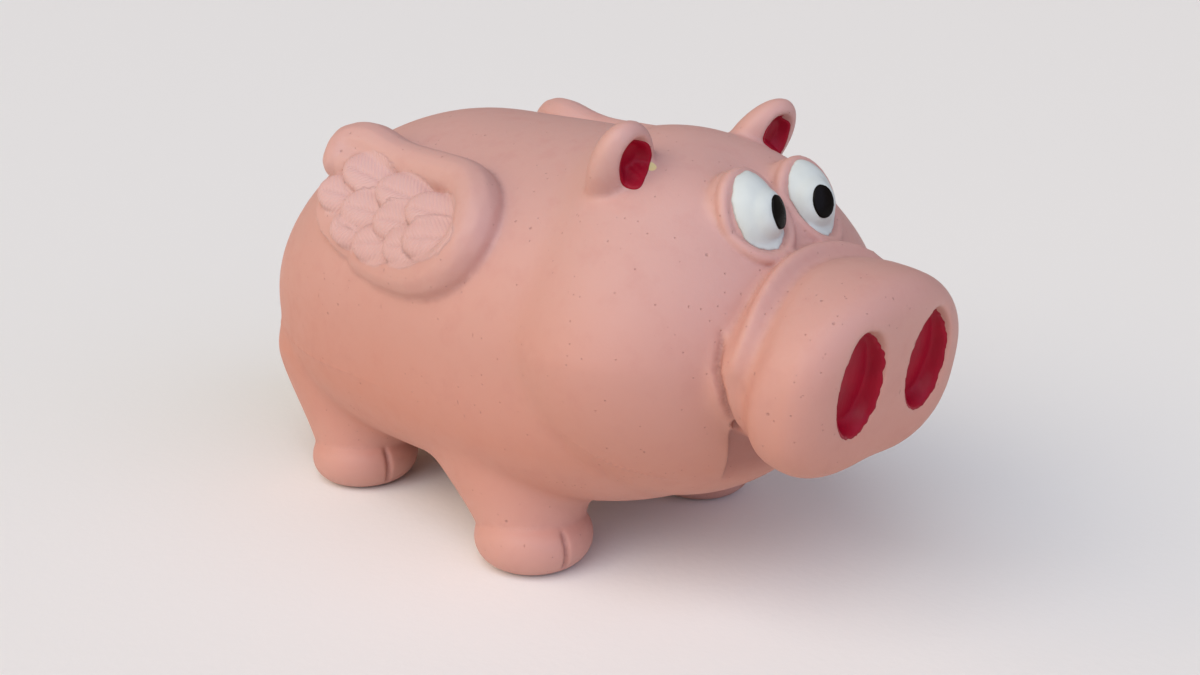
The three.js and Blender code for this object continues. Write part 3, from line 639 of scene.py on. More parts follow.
for side in SIDES.values():
    add_wing(features, side)
add_string(features, tail_beads())
features.from_mesh(base)
relief = fused(features, RELIEF_VOXEL)
x, y, z = points_of(relief).T
on_wing = ramp(np.abs(y), 14, 20) * within(x, -55.5, -49.5, 18.5, 24.5) * ramp(z, 46, 52)
on_snout = ramp(x, 58, 64) * ramp(z, 58, 66)
on_ear = within(x, 18, 22, 50, 54) * ramp(np.abs(y), 10, 13) * ramp(z, 70, 76)
beside_snout = within(x, 58, 62, 74, 78) * ramp(-z, -70, -58)
crisp = np.maximum.reduce([on_wing, on_snout, on_ear])
soften(relief, 6, swells=0.12, hollows=0.8, where=1 - 0.85 * crisp)
soften(relief, 22, swells=0.4, hollows=0.8, where=beside_snout)
print("features fused,", len(relief.vertices), "points")

# %% [markdown]
# ## Pressing in the hollows
#
# Nostrils and ear cups are pressed into the form, as a modeller does with a tool. Each press moves the
# points inside its outline along one direction, deepest in the middle. The next remesh evens out the
# stretched faces on steep walls. A fold is pressed along a path, and will be used for the fine marks.

# %% Presses
NOSTRIL_SPACING = 21.4
NOSTRIL_HALF = (6.9, 10.6)
NOSTRIL_RISE = 2.6
NOSTRIL_DEPTH = 3.6
NOSTRIL_REACH = 6.0
NOSTRIL_EDGE = (-1.02, -0.83)
CUP_HALF = (4.6, 5.5)
CUP_PLACE = (-0.6, 5.0)
CUP_DEPTH = 3.4
CUP_EDGE = (-1.05, -0.4)
EAR_MARGIN = 1.12
FOLD_MARGIN = 4.0
FOLD_FADE = 0.08


def local_points(points, matrix):
    inverse = np.array(matrix.inverted())
    return points @ inverse[:3, :3].T + inverse[:3, 3]


def world_points(points, matrix):
    forward = np.array(matrix)
    return points @ forward[:3, :3].T + forward[:3, 3]


def tree_of(mesh):
    """A tree that finds the place on a mesh that is nearest to a point, or that a ray meets."""
    bm = bmesh.new()
    bm.from_mesh(mesh)
    tree = BVHTree.FromBMesh(bm)
    bm.free()
    return tree


def press_nostril(points, side):
    local = local_points(points, SNOUT_FACE)
    out = (local[:, 1] - side * NOSTRIL_SPACING / 2) / NOSTRIL_HALF[0]
    up = (local[:, 2] - NOSTRIL_RISE) / NOSTRIL_HALF[1]
    on_face = local[:, 0] > -NOSTRIL_REACH
    local[:, 0] -= on_face * NOSTRIL_DEPTH * ramp(-np.hypot(out, up), *NOSTRIL_EDGE)
    return world_points(local, SNOUT_FACE)


def press_ear(points, side):
    matrix = ear_frame(side)
    local = local_points(points, matrix)
    out = (side * local[:, 1] - CUP_PLACE[0]) / CUP_HALF[0]
    up = (local[:, 2] - CUP_PLACE[1]) / CUP_HALF[1]
    on_front = (np.linalg.norm(local / np.array(EAR_HALF), axis=1) < EAR_MARGIN) & (local[:, 0] > 0)
    local[:, 0] -= on_front * CUP_DEPTH * ramp(-np.hypot(out, up), *CUP_EDGE)
    return world_points(local, matrix)


def fold_depth(points, tree, stations, depth, width):
    """How deep a fold is at each point. Its path lies on the right side, and it fades out at the ends."""
    path = np.array([tree.find_nearest(Vector(spot))[0] for spot in smooth_path(stations, 8)])
    fade = np.sin(np.linspace(FOLD_FADE, math.pi - FOLD_FADE, len(path)))
    right = on_left(points) * [1, -1, 1]
    low = path.min(0) - FOLD_MARGIN
    high = path.max(0) + FOLD_MARGIN
    near = np.flatnonzero(((right > low) & (right < high)).all(1))
    gap = np.linalg.norm(right[near, None, :] - path[None, :, :], axis=2)
    depths = np.zeros(len(points))
    depths[near] = depth * fade[gap.argmin(1)] * np.exp(-((gap.min(1) / width) ** 2))
    return depths


points = points_of(relief)
for side in SIDES.values():
    points = press_nostril(points, side)
    points = press_ear(points, side)
set_points(relief, points)
print("pressed two nostrils and two ear cups")

# %% [markdown]
# ## Feathers, eye rims and trotters
#
# These have crisp steps, so they join last, at the finest remesh. Feathers lie in rows, front ones over
# rear ones. Each is a flattened ball, tipped so that its rear end stands proud, and wrapped on the
# flank like the roll. Its underside goes deep into the flank, because a pocket under it would be left
# in the skin as a hidden bubble. The rims are strings of balls that lie on the sockets, or on the head
# where that stands further out.

# %% Feathers, rims and feet
FAN_ROOT = (-40.0, 2.5)
FEATHER_SIZE = (16.2, 10.0)
FEATHER_NARROWING = 0.14
FEATHER_SINK = 0.8
FEATHER_RISE = 1.7
FEATHER_ROOT = 5.0
FEATHER_TIP_LIFT = 0.2
FEATHER_TIPS = [
    (-8.4, -4.4, 2.7),
    (-5.2, 2.2, 2.9),
    (-2.6, -7.1, 2.1),
    (3.6, -1.8, 2.3),
    (7.3, 5.0, 2.8),
    (7.9, -8.1, 1.6),
    (15.3, -1.0, 1.8),
    (20.0, 7.2, 2.8),
    (16.5, -6.0, 1.3),
    (25.0, 1.2, 1.4),
]
RIM_HALF = (7.3, 8.6)
RIM_AHEAD = 2.2
RIM_RADIUS = 1.25
RIM_WANDER = 0.12
RIM_BEADS = 72
RAY_START = 30.0
SKIN_VOXEL = 0.45


def feather_axis(tip):
    """The middle of a feather and the cosine and sine of its turn, from its tip and the fan's root."""
    turn = math.atan2(tip[1] - FAN_ROOT[1], tip[0] - FAN_ROOT[0])
    cosine, sine = math.cos(turn), math.sin(turn)
    half = FEATHER_SIZE[0] / 2
    return tip[0] - half * cosine, tip[1] - half * sine, cosine, sine


def add_feathers(bm, side):
    for tip in FEATHER_TIPS:
        back, up, cosine, sine = feather_axis(tip)
        leaf = bmesh.ops.create_uvsphere(bm, u_segments=32, v_segments=16, radius=1.0)["verts"]
        for vert in leaf:
            along = vert.co.x * FEATHER_SIZE[0] / 2
            across = vert.co.y * FEATHER_SIZE[1] / 2 * (1 - FEATHER_NARROWING * (1 - vert.co.x))
            flattened = math.copysign(math.sqrt(1 - (1 - vert.co.z**2) ** 2), vert.co.z)
            thickness = FEATHER_RISE if vert.co.z > 0 else FEATHER_ROOT
            rise = flattened * thickness + FEATHER_TIP_LIFT * along
            turned_back = back + along * cosine - across * sine
            turned_up = up + along * sine + across * cosine
            vert.co = on_flank(turned_back, turned_up, tip[2] - FEATHER_SINK + rise, side)


face_form = bmesh.new()
face_form.from_mesh(base)
add_snout(face_form)
face_tree = BVHTree.FromBMesh(face_form)
face_form.free()


def rim_beads(side):
    eye = eye_frame(side)
    look = eye.to_3x3() @ Vector((1, 0, 0))
    beads = []
    for step in range(RIM_BEADS):
        turn = 2 * math.pi * step / RIM_BEADS
        rise = RIM_HALF[1] * math.sin(turn) - SOCKET_DROP
        ahead = eye @ Vector((RAY_START, RIM_HALF[0] * math.cos(turn), rise))
        hit = face_tree.ray_cast(ahead, -look)[0]
        in_front = max(RIM_AHEAD, (eye.inverted() @ hit).x)
        radius = RIM_RADIUS + RIM_WANDER * math.sin(3 * turn + 1)
        beads.append((ahead + look * (in_front - RAY_START), radius))
    return beads


details = bmesh.new()
for side in SIDES.values():
    add_string(details, rim_beads(side))
    add_feathers(details, side)
    for leg in LEGS:
        add_foot(details, leg, side)
print("feathers, rims and feet drawn with", len(details.verts), "points")
details.from_mesh(relief)
moulded = fused(details, SKIN_VOXEL)
soften(moulded, 1, swells=0.25, hollows=0.3)
print("moulded skin", len(moulded.vertices), "points")

# %% [markdown]
# ## Fine marks
#
# Clefts in the trotters, midribs in the feathers, the folds beside the mouth, the recess behind the
# chin and the thin raised lines where the mould's halves met are shallow enough to be pushed into the
# finished skin. Folds follow normals that were averaged a few times, because a fold along uneven
# normals would come out hatched. A slow noise of a third of a millimetre keeps the highlights from
# looking computed, because a poured skin is never quite even, and two small bumps lift the pupils,
# which stand on a low swelling of the eye. How hollow each point lies among its neighbours is kept in
# an attribute, with the deep folds and the chin recess added. The finish paints these places darker:
# partly dust, and partly painted shade.

# %% Fine marks
CHEEK_FOLD = [(64.9, -24.4, 62), (65.4, -24.6, 57), (66.3, -23.8, 52), (67.0, -22.8, 47)]
CHEEK_FOLD += [(67.3, -21.6, 43)]
MOUTH_CORNER = [(66.9, -22.2, 45.2), (67.3, -21.6, 43.6), (68.1, -20.8, 42.4)]
JOWL_LINE = [(38.9, -41.1, 41.7), (46.0, -35.0, 36.0), (52.0, -28.0, 32.0), (56.9, -20.0, 29.5)]
PARTING_Z = 36.5
FLANK_LINE = []
for x in range(-82, -1, 8):
    middle, half_width, half_height = torso_at(x)
    reach = half_width * math.sqrt(1 - ((PARTING_Z - middle) / half_height) ** 2)
    FLANK_LINE.append((x, -reach, PARTING_Z))
FOLDS = [
    (CHEEK_FOLD, 1.7, 0.7),
    (MOUTH_CORNER, 1.6, 0.8),
    (FLANK_LINE, -0.2, 0.45),
    (JOWL_LINE, -0.25, 0.45),
]
FOLD_CALMING = 6
FOLD_SOFTENED = 0.3
# Folds deeper than this get painted shade in the finish.
FOLD_SHADED_BEYOND = 0.5
RECESS_DEPTH = 1.5
RECESS_Z = 34.0
RECESS_HALF_WIDTH = 18.2
RECESS_WIDENING = 0.42
CLEFT_TURN = math.radians(9)
CLEFT_WIDTH = 0.55
CLEFT_DEPTH = 1.1
CLEFT_FROM = 6
CLEFT_TO = 15
WING_LOW_CORNER = (-50, 18, 50)
WING_FRONT = 16
RIB_DEPTH = 0.22
RIB_WIDTH = 0.4
PUPIL_PLACE = Vector((61.5, 7.1, 80.4))
PUPIL_RISE = 0.9
LUMP_SIZE = 26.0
LUMP_HEIGHT = 0.3
CREASE_LEAST = 0.012
CREASE_RANGE = 0.07


def press_cleft(points, leg, side):
    matrix = Matrix.Translation((leg["x"], side * FOOT_Y, 0)) @ Matrix.Rotation(side * CLEFT_TURN, 4, "Z")
    local = local_points(points, matrix)
    groove = np.exp(-((local[:, 1] / CLEFT_WIDTH) ** 2)) * within(local[:, 2], 1.0, 3.5, 8.5, 11.5)
    groove *= (local[:, 0] > CLEFT_FROM) & (local[:, 0] < CLEFT_TO)
    local[:, 0] -= CLEFT_DEPTH * groove
    return world_points(local, matrix)


def feather_places(points):
    """The place along and across the top feather, in millimetres, and 1, or zeros where there is none."""
    axes = [feather_axis(tip) for tip in FEATHER_TIPS]
    places = np.zeros((len(points), 3), np.float32)
    near = (on_left(points) > WING_LOW_CORNER).all(1) & (points[:, 0] < WING_FRONT)
    for index in np.flatnonzero(near):
        x, y, z = points[index]
        middle, half_width, half_height = torso_at(x)
        angle = math.atan2((z - middle) / half_height, abs(y) / half_width)
        up = (angle - WING_RISE) * (TORSO["half_width"] + TORSO["half_height"]) / 2
        for back, height, cosine, sine in axes:
            step_back = WING_X - x - back
            step_up = up - height
            along = step_back * cosine + step_up * sine
            across = step_up * cosine - step_back * sine
            if (2 * along / FEATHER_SIZE[0]) ** 2 + (2 * across / FEATHER_SIZE[1]) ** 2 < 1:
                places[index] = (along, across, 1)
                break
    return places


points = points_of(moulded)
normals = normals_of(moulded)
mean = neighbour_mean(moulded)
calm = normals
for _ in range(FOLD_CALMING):
    calm = mean_vectors(mean, calm)
moulded_tree = tree_of(moulded)
folds = sum(fold_depth(points, moulded_tree, *fold) for fold in FOLDS)
set_points(moulded, points - calm * folds[:, None])
soften(moulded, 2, swells=0.8, hollows=0.15, where=np.clip(folds / FOLD_SOFTENED, 0, 1))

points = points_of(moulded)
x, y, z = points.T
recess = ramp(RECESS_HALF_WIDTH + RECESS_WIDENING * (z - RECESS_Z) - np.abs(y), 0, 1.5)
recess *= within(x, 56, 60, 68, 71) * within(z, 25, 33, 43, 46)
points[:, 0] -= RECESS_DEPTH * recess
for side in SIDES.values():
    for leg in LEGS:
        points = press_cleft(points, leg, side)
places = feather_places(points)
ribs = places[:, 2] * np.exp(-((places[:, 1] / RIB_WIDTH) ** 2)) * ramp(-np.abs(places[:, 0]), -7.0, -5.0)
lumps = np.array([noise.noise(Vector(point) / LUMP_SIZE) for point in points])
pupils = ramp(-distance_to(points, PUPIL_PLACE), -5.2, -2.6)
swell = LUMP_HEIGHT * lumps * ramp(points[:, 2], 2, 8) + PUPIL_RISE * pupils - RIB_DEPTH * ribs
points += normals * swell[:, None]
points[:, 2] = np.maximum(points[:, 2], 0.0)
set_points(moulded, points)

creases = np.clip((pull_of(moulded, mean)[1] - CREASE_LEAST) / CREASE_RANGE, 0, 1)
# Deep folds and the chin recess join the creases, which the finish paints darker: partly dust, partly
# painted shade.
creases = np.maximum.reduce([creases, np.clip(folds - FOLD_SHADED_BEYOND, 0, 1), recess])
attribute = moulded.attributes.new("crease", "FLOAT", "POINT")
attribute.data.foreach_set("value", mean(creases).astype(np.float32))
print("points in creases:", int((creases > 0.3).sum()))
print("lumps from", round(lumps.min() * LUMP_HEIGHT, 2), "to", round(lumps.max() * LUMP_HEIGHT, 2), "mm")

# %% [markdown]
# ## Thinning and hollowing the skin
#
# The remesh gives every place the same small faces. A Decimate modifier thins them where the surface is
# calm and keeps them in the feathers and the face. Then the hollow, drawn from the same forms a wall
# thickness smaller, and the hole for the belly plug are cut out with Booleans. Crumbs that a remesh or
# a cut leaves are deleted.

# %% Skin
WALL = 3.2
SOLE = 4.0
HOLLOW_VOXEL = 2.2
PLUG_X = -23.46
PLUG_RADIUS = 13.0
HOLE_LOW = -5
HOLE_HIGH = 20
SKIN_TRIANGLES = 168000


def triangles_in(mesh):
    return sum(len(face.vertices) - 2 for face in mesh.polygons)


def without_crumbs(mesh):
    """Deletes all but the largest connected part, and says how many parts were deleted."""
    bm = bmesh.new()
    bm.from_mesh(mesh)
    left = set(bm.verts)
    parts = []
    while left:
        part = [left.pop()]
        for vert in part:
            near = {edge.other_vert(vert) for edge in vert.link_edges} & left
            left -= near
            part.extend(near)
        parts.append(part)
    parts.sort(key=len)
    for part in parts[:-1]:
        bmesh.ops.delete(bm, geom=part, context="VERTS")
    bm.to_mesh(mesh)
    bm.free()
    return len(parts) - 1


def in_metres(thing):
    thing.data.transform(Matrix.Scale(MM, 4))
    thing.data.shade_smooth()
    return thing


hollow = bmesh.new()
add_lobe(hollow, TORSO, WALL)
add_lobe(hollow, HEAD, WALL)
add_snout(hollow, WALL, NOSTRIL_DEPTH + WALL)
for side in SIDES.values():
    for leg in LEGS:
        add_shank(hollow, leg, side, WALL, SOLE)
plug_hole = bmesh.new()
hole_profile = [(0, HOLE_LOW), (PLUG_RADIUS, HOLE_LOW), (PLUG_RADIUS, HOLE_HIGH), (0, HOLE_HIGH)]
spun(plug_hole, hole_profile, steps=64)
bmesh.ops.translate(plug_hole, verts=plug_hole.verts, vec=(PLUG_X, 0, 0))
hollow_form = as_object("hollow", fused(hollow, HOLLOW_VOXEL))
hole_form = as_object("hole", mesh_of(plug_hole, "hole"))

skin = as_object("pig_skin", moulded)
thin = skin.modifiers.new("thin", "DECIMATE")
thin.ratio = min(1.0, SKIN_TRIANGLES / triangles_in(moulded))
settled(skin)
print("skin thinned to", len(skin.data.polygons), "faces")
skin_tree = BVHTree.FromObject(skin, bpy.context.evaluated_depsgraph_get())
for cutter in (hollow_form, hole_form):
    cut = skin.modifiers.new(cutter.name, "BOOLEAN")
    cut.operation = "DIFFERENCE"
    cut.solver = "EXACT"
    cut.object = cutter
settled(skin)
for cutter in (hollow_form, hole_form):
    bpy.data.objects.remove(cutter)
print("crumbs deleted from the skin:", without_crumbs(skin.data))
print("skin hollowed,", triangles_in(skin.data), "triangles")

# %% [markdown]
# ## Where each feather lies
#
# For every point on a wing, the place along and across the top feather is kept in an attribute, in
# millimetres. The barbs are too fine for the mesh, so the finish reads it to draw them along their
# feathers on both sides.

# %% Feather attribute
places = feather_places(points_of(skin.data))
attribute = skin.data.attributes.new("feather", "FLOAT_VECTOR", "POINT")
attribute.data.foreach_set("vector", places.ravel())
in_metres(skin)
print("points on feathers:", int(places[:, 2].sum()))

# %% [markdown]
# ## Coloured coats
#
# Whites, pupils, nostrils and ears are dabs of coloured latex, a film that follows the skin under it
# and ends in a wandering edge. Each is a disc spun from a row of points, stretched to an outline in
# millimetres, and dropped on the skin along the way that it looks. A Solidify modifier makes it a film
# with two sides.

# %% Coats
WHITE_OVAL = (12.2, 15.6, 0.04, 2.2)
WHITE_CENTRE = (0, 0.2)
WHITE_SEED = 3.0
WHITE_LIFT = 0.28
PUPIL_OVAL = (4.9, 6.4, 0.02, 1.5)
PUPIL_SEED = 7.0
PUPIL_LOOK = (0.93, -0.16, 0.2)
PUPIL_LIFT = 0.62
NOSTRIL_OVAL = (13.8, 20.2, 0.025, 5.0)
NOSTRIL_SEED = 11.0
NOSTRIL_DROP = 0.6
DAB_LIFT = 0.25
EAR_DAB = [(-1.2, 9.7), (-4.0, 7.3), (-5.0, 4.6), (-4.4, 2.0), (-1.2, 0.0), (2.2, -1.0), (3.6, 1.8)]
EAR_DAB += [(3.4, 5.4), (1.9, 8.5)]
EAR_DAB_DEPTH = 2.5
EAR_DAB_TIP = math.radians(35)
EDGE_STEPS = 180
EDGE_NOISE = (0.7, 2.1, 4)
EDGE_SHARE = 0.08
DISC_RINGS = 26
DISC_STEPS = 160
DROP_FROM = 12.0
DROP_RANGE = 30.0
FILM_GAP = 0.04
FILM_THICKNESS = 0.18


def oval(width, height, wander, pace, seed, centre=(0, 0)):
    """A wandering oval."""
    outline = []
    for step in range(EDGE_STEPS):
        turn = 2 * math.pi * step / EDGE_STEPS
        cosine, sine = math.cos(turn), math.sin(turn)
        spread = 1 + wander * noise.fractal(Vector((cosine * pace, sine * pace, seed)), *EDGE_NOISE)
        outline.append((centre[0] + cosine * width / 2 * spread, centre[1] + sine * height / 2 * spread))
    return outline


def coat(name, matrix, outline, lift, depth=0.0, tip=0.0):
    """A film on the skin within an outline, drawn in a frame whose X is the way that it looks."""
    disc = bmesh.new()
    spun(disc, [(ring / DISC_RINGS, 0) for ring in range(DISC_RINGS + 1)], steps=DISC_STEPS)
    look = matrix.to_3x3() @ Vector((math.cos(tip), 0, math.sin(tip)))
    middle = np.mean(outline, 0)
    from_middle = (np.array(outline) - middle).T
    turns = np.arctan2(from_middle[1], from_middle[0])
    radii = np.hypot(*from_middle)
    for vert in disc.verts:
        out, up = -vert.co.y, vert.co.x
        reach = math.hypot(out, up)
        turn = math.atan2(up, out)
        radius = reach * np.interp(turn, turns, radii, period=2 * math.pi)
        spot = Vector((depth, middle[0] + radius * math.cos(turn), middle[1] + radius * math.sin(turn)))
        hit, normal = skin_tree.ray_cast(matrix @ spot + look * DROP_FROM, -look, DROP_RANGE)[:2]
        if hit is None:
            hit, normal = skin_tree.find_nearest(matrix @ spot)[:2]
        full = 1 - max(0.0, (reach - 1 + EDGE_SHARE) / EDGE_SHARE) ** 2
        vert.co = hit + normal * (lift * full + FILM_GAP)
    inner = [vert for vert in disc.verts if not vert.is_boundary]
    axes = {"use_axis_x": True, "use_axis_y": True, "use_axis_z": True}
    for _ in range(2):
        bmesh.ops.smooth_vert(disc, verts=inner, factor=0.4, **axes)
    bmesh.ops.recalc_face_normals(disc, faces=disc.faces)
    outwards = sum((face.normal for face in disc.faces), Vector())
    if outwards.dot(look) < 0:
        bmesh.ops.reverse_faces(disc, faces=disc.faces)
    made = in_metres(as_object(name, mesh_of(disc, name)))
    film = made.modifiers.new("film", "SOLIDIFY")
    film.thickness = FILM_THICKNESS * MM
    film.offset = -1
    return made


def looking(place, side, towards):
    """A frame at a place, whose X looks along the direction given for the left side."""
    ahead = Vector((towards[0], side * towards[1], towards[2])).normalized()
    out = Vector((0, 0, 1)).cross(ahead).normalized()
    rotation = Matrix((ahead, out, ahead.cross(out))).transposed().to_4x4()
    return Matrix.Translation((place.x, side * place.y, place.z)) @ rotation


coats = {}
for hand, side in SIDES.items():
    white = oval(*WHITE_OVAL, WHITE_SEED + side, WHITE_CENTRE)
    pupil = oval(*PUPIL_OVAL, PUPIL_SEED + side)
    nostril_centre = (side * NOSTRIL_SPACING / 2, NOSTRIL_RISE - NOSTRIL_DROP)
    nostril = oval(*NOSTRIL_OVAL, NOSTRIL_SEED + side, nostril_centre)
    ear_dab = [(side * out, up) for out, up in smooth_path(EAR_DAB + EAR_DAB[:1], 12)]
    drawn = {
        "eye_white": (eye_frame(side), white, WHITE_LIFT),
        "pupil": (looking(PUPIL_PLACE, side, PUPIL_LOOK), pupil, PUPIL_LIFT),
        "nostril_paint": (SNOUT_FACE, nostril, DAB_LIFT),
        "ear_paint": (ear_frame(side), ear_dab, DAB_LIFT, EAR_DAB_DEPTH, EAR_DAB_TIP),
    }
    for kind, how in drawn.items():
        coats[f"{hand}_{kind}"] = coat(f"{hand}_{kind}", *how)
print("coats:", sorted(coats))

# %% [markdown]
# ## Stuffing
#
# Six wads of loose polyester fibre fill the hollow. Each starts from a copy of its CAD solid, fused
# into even faces, softened, and sunk unevenly so that it is lumpy. A point that lies nearer to the
# outside than the skin's wall is drawn back in, and a last softening parts the points that were drawn
# to one place.

# %% Stuffing wads
WAD_VOXEL = 2.0
WAD_SINK = 0.9
WAD_GAP = 0.4
TUFT_SIZE = 9.0
TUFT_NOISE = (1.0, 2.0, 3)
TUFT_DEPTH = 0.7
WADS = ["torso_stuffing", "head_stuffing"]
WADS += [f"{hand}_{end}_leg_stuffing" for hand in SIDES for end in ("front", "rear")]


def wad(node):
    bm = bmesh.new()
    bm.from_mesh(frame["nodes"][node].data)
    bmesh.ops.scale(bm, verts=bm.verts, vec=(1 / MM, 1 / MM, 1 / MM))
    bmesh.ops.remove_doubles(bm, verts=bm.verts, dist=1e-3)
    mesh = fused(bm, WAD_VOXEL)
    without_crumbs(mesh)
    soften(mesh, 5)
    points = points_of(mesh)
    tufts = np.array([noise.fractal(Vector(point) / TUFT_SIZE, *TUFT_NOISE) for point in points])
    points -= normals_of(mesh) * (WAD_SINK + TUFT_DEPTH * np.clip(tufts, -1, 1))[:, None]
    for index, point in enumerate(points):
        nearest, outwards = skin_tree.find_nearest(Vector(point))[:2]
        inside = nearest - outwards * (WALL + WAD_GAP)
        too_near = (nearest - Vector(point)).dot(outwards) < WALL + WAD_GAP
        if too_near and (inside - Vector(point)).length < 2 * WALL:
            points[index] = inside
    set_points(mesh, points)
    soften(mesh, 1)
    return in_metres(as_object(node.replace("stuffing", "wad"), mesh))


wads = {node: wad(node) for node in WADS}
print("wads:", {made.name: len(made.data.polygons) for made in wads.values()})

# %% [markdown]
# ## Plug and squeaker
#
# These are turned pieces. A ring is spun from an outline that closes on itself. The plug is bent to the
# belly so that its face is flush. The bellows have rounded folds. The whistle, its clip and its reed keep
# their CAD solids, which are crisp little plastic pieces.

# %% Turned pieces
BORE = 4.3
PLUG_FACE = 10.95
PLUG_NECK = 12.7
PLUG_NECK_TOP = 14.6
PLUG_FLANGE = 15.8
PLUG_FLANGE_LOW = 14.9
PLUG_EDGE = 0.25
PLUG_BEND = 3.0
DISC_HEIGHT = 4.6
DISC_RIM = 1.2
DISC_FLOOR = 1.6
DISC_EDGE = 0.2
CROWN_HOLE = 3.0
PLEAT_DEPTH = 3.0
PLEATS = 3
PLEAT_STEPS = 60
BELLOWS_WALL = 0.8
CUFF = 3.0


def turned(name, outline, low, edge=None):
    """A ring on the squeaker's axis, from a height up. Its edges may be softened."""
    ring = bmesh.new()
    spun(ring, outline, steps=72, closed=True)
    bmesh.ops.translate(ring, verts=ring.verts, vec=(PLUG_X, 0, low))
    made = as_object(name, mesh_of(ring, name))
    if edge:
        bevel = made.modifiers.new("soft edges", "BEVEL")
        bevel.width = edge
        bevel.segments = 3
        bevel.limit_method = "ANGLE"
        settled(made)
    return made


def cad_size(node):
    low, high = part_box(node)
    return low / MM, high / MM


plug_top = cad_size("belly_plug")[1].z
plug_outline = [(BORE, PLUG_FACE), (PLUG_NECK, PLUG_FACE), (PLUG_NECK, PLUG_NECK_TOP)]
plug_outline += [(PLUG_FLANGE, PLUG_FLANGE_LOW), (PLUG_FLANGE, plug_top), (BORE, plug_top)]
plug = turned("belly_plug_latex", plug_outline, 0, PLUG_EDGE)
power = TORSO["belly_fullness"]
for vert in plug.data.vertices:
    flat = (1 - abs(vert.co.y / TORSO["half_width"]) ** power) ** (1 / power)
    bend = max(0.0, min(1.0, (plug_top - vert.co.z) / PLUG_BEND))
    vert.co.z += TORSO["half_height"] * (1 - flat) * bend
in_metres(plug)

base_low, base_high = cad_size("squeaker_base")
crown_low, crown_high = cad_size("squeaker_crown")
disc_radius = (base_high.x - base_low.x) / 2
rim_radius = disc_radius - DISC_RIM
rim = [(disc_radius, 0), (disc_radius, DISC_HEIGHT), (rim_radius, DISC_HEIGHT), (rim_radius, DISC_FLOOR)]
base_outline = [(BORE, 0), *rim, (BORE, DISC_FLOOR)]
crown_upturned = [(CROWN_HOLE, 0), *rim, (CROWN_HOLE, DISC_FLOOR)]
crown_outline = [(radius, DISC_HEIGHT - height) for radius, height in crown_upturned]
squeaker_base = in_metres(turned("squeaker_floor", base_outline, base_low.z, DISC_EDGE))
squeaker_crown = in_metres(turned("squeaker_cap", crown_outline, crown_low.z, DISC_EDGE))

bellows_low, bellows_high = cad_size("squeaker_bellows")
bellows_radius = (bellows_high.x - bellows_low.x) / 2
bellows_height = bellows_high.z - bellows_low.z
outside = [(bellows_radius, 0)]
for step in range(PLEAT_STEPS + 1):
    share = step / PLEAT_STEPS
    depth = PLEAT_DEPTH * (0.5 - 0.5 * math.cos(2 * math.pi * PLEATS * share))
    outside.append((bellows_radius - depth, CUFF + (bellows_height - 2 * CUFF) * share))
outside.append((bellows_radius, bellows_height))
inside = [(radius - BELLOWS_WALL, height) for radius, height in reversed(outside)]
bellows = in_metres(turned("concertina", outside + inside, bellows_low.z))
print("bellows", round(2 * bellows_radius, 1), "mm across,", round(bellows_height, 1), "mm tall")

# %% [markdown]
# ## Finishes
#
# Every finish is drawn with nodes on Object coordinates, so nothing needs a picture. One function adds
# a node with its settings and links, and a node that is given as a link stands for its first output in
# use. Another turns the colours, which are picked as sRGB hex values, to the linear numbers that a
# shader wants. A third gives a texture's scale from a size in millimetres. Two more start a finish and
# end it.

# %% Node helpers
COLOUR_A = 6
COLOUR_B = 7


def linear(hex_colour, alpha=1.0):
    channels = [int(hex_colour[index : index + 2], 16) / 255 for index in (1, 3, 5)]
    return [c / 12.92 if c <= 0.04045 else ((c + 0.055) / 1.055) ** 2.4 for c in channels] + [alpha]


def every(millimetres):
    return 1000.0 / millimetres


def add(tree, kind, links=None, **settings):
    node = tree.nodes.new("ShaderNode" + kind)
    for name, value in settings.items():
        setattr(node, name, value)
    for socket, value in (links or {}).items():
        if isinstance(value, bpy.types.Node):
            value = next(output for output in value.outputs if output.enabled)
        if isinstance(value, bpy.types.NodeSocket):
            tree.links.new(value, node.inputs[socket])
        else:
            node.inputs[socket].default_value = value
    return node


def new_finish(name):
    """A material, its node tree, and the place that its textures are drawn at."""
    material = bpy.data.materials.new(name)
    material.use_nodes = True
    tree = material.node_tree
    tree.nodes.clear()
    return material, tree, add(tree, "TexCoord").outputs["Object"]


def end_finish(tree, inputs):
    shader = add(tree, "BsdfPrincipled", inputs)
    add(tree, "OutputMaterial", {"Surface": shader})


def wear(thing, material):
    thing.data.materials.clear()
    thing.data.materials.append(material)


print("rosy pink as linear numbers", [round(c, 3) for c in linear("#CA9D92")])

# %% [markdown]
# ### Pink latex
#
# Natural latex, poured in a plaster mould and pigmented all through. The plaster leaves a matte,
# faintly grainy face with a soft sheen. Air bubbles leave pinholes, the mould's joints leave thin
# raised lines, and light goes a millimetre or two into it, which softens every shadow. The pink is
# painted warmer and darker near belly height, as painted warm light bounced from below. It is painted
# rosier and lighter further from there, most of all on top, as painted cool light from above. Each mark
# has a share from 0 to 1, and the colours are laid over one another by these shares.

# %% Pink latex
# The first two pinks are painted light: cool light from above, and warm light bounced from below.
PINK_COOL_LIT = linear("#CA9D92")
PINK_WARM_LIT = linear("#C4846F")
# The feather pink is painted cool light from above.
PINK_FEATHER_COOL_LIT = linear("#D3AFAB")
PINK_DEEP = linear("#B97A70")
PINHOLE = linear("#6F433C")
# The crease red is partly dust and partly painted shade.
CREASE_DUST_AND_SHADE = linear("#864D48")
RAW_LATEX = linear("#D8C58A")
WARM_LIT_Z = 32.0
COOL_LIT_FROM = 48.0
DRIFT = 0.35
PINHOLE_SHARE = 0.3
PINHOLE_DEPTH = 0.25
CREASE_DUST_AND_SHADE_SHARE = 0.55
FEATHER_COOL_LIT_SHARE = 0.4
BARB_SPACING = 1.0
BARB_SLANT = 0.9
BARB_HEIGHT = 0.05
GRAIN_HEIGHT = 0.05
FLAKE_PLACE = Vector((40.4, -17.2, 87.5))


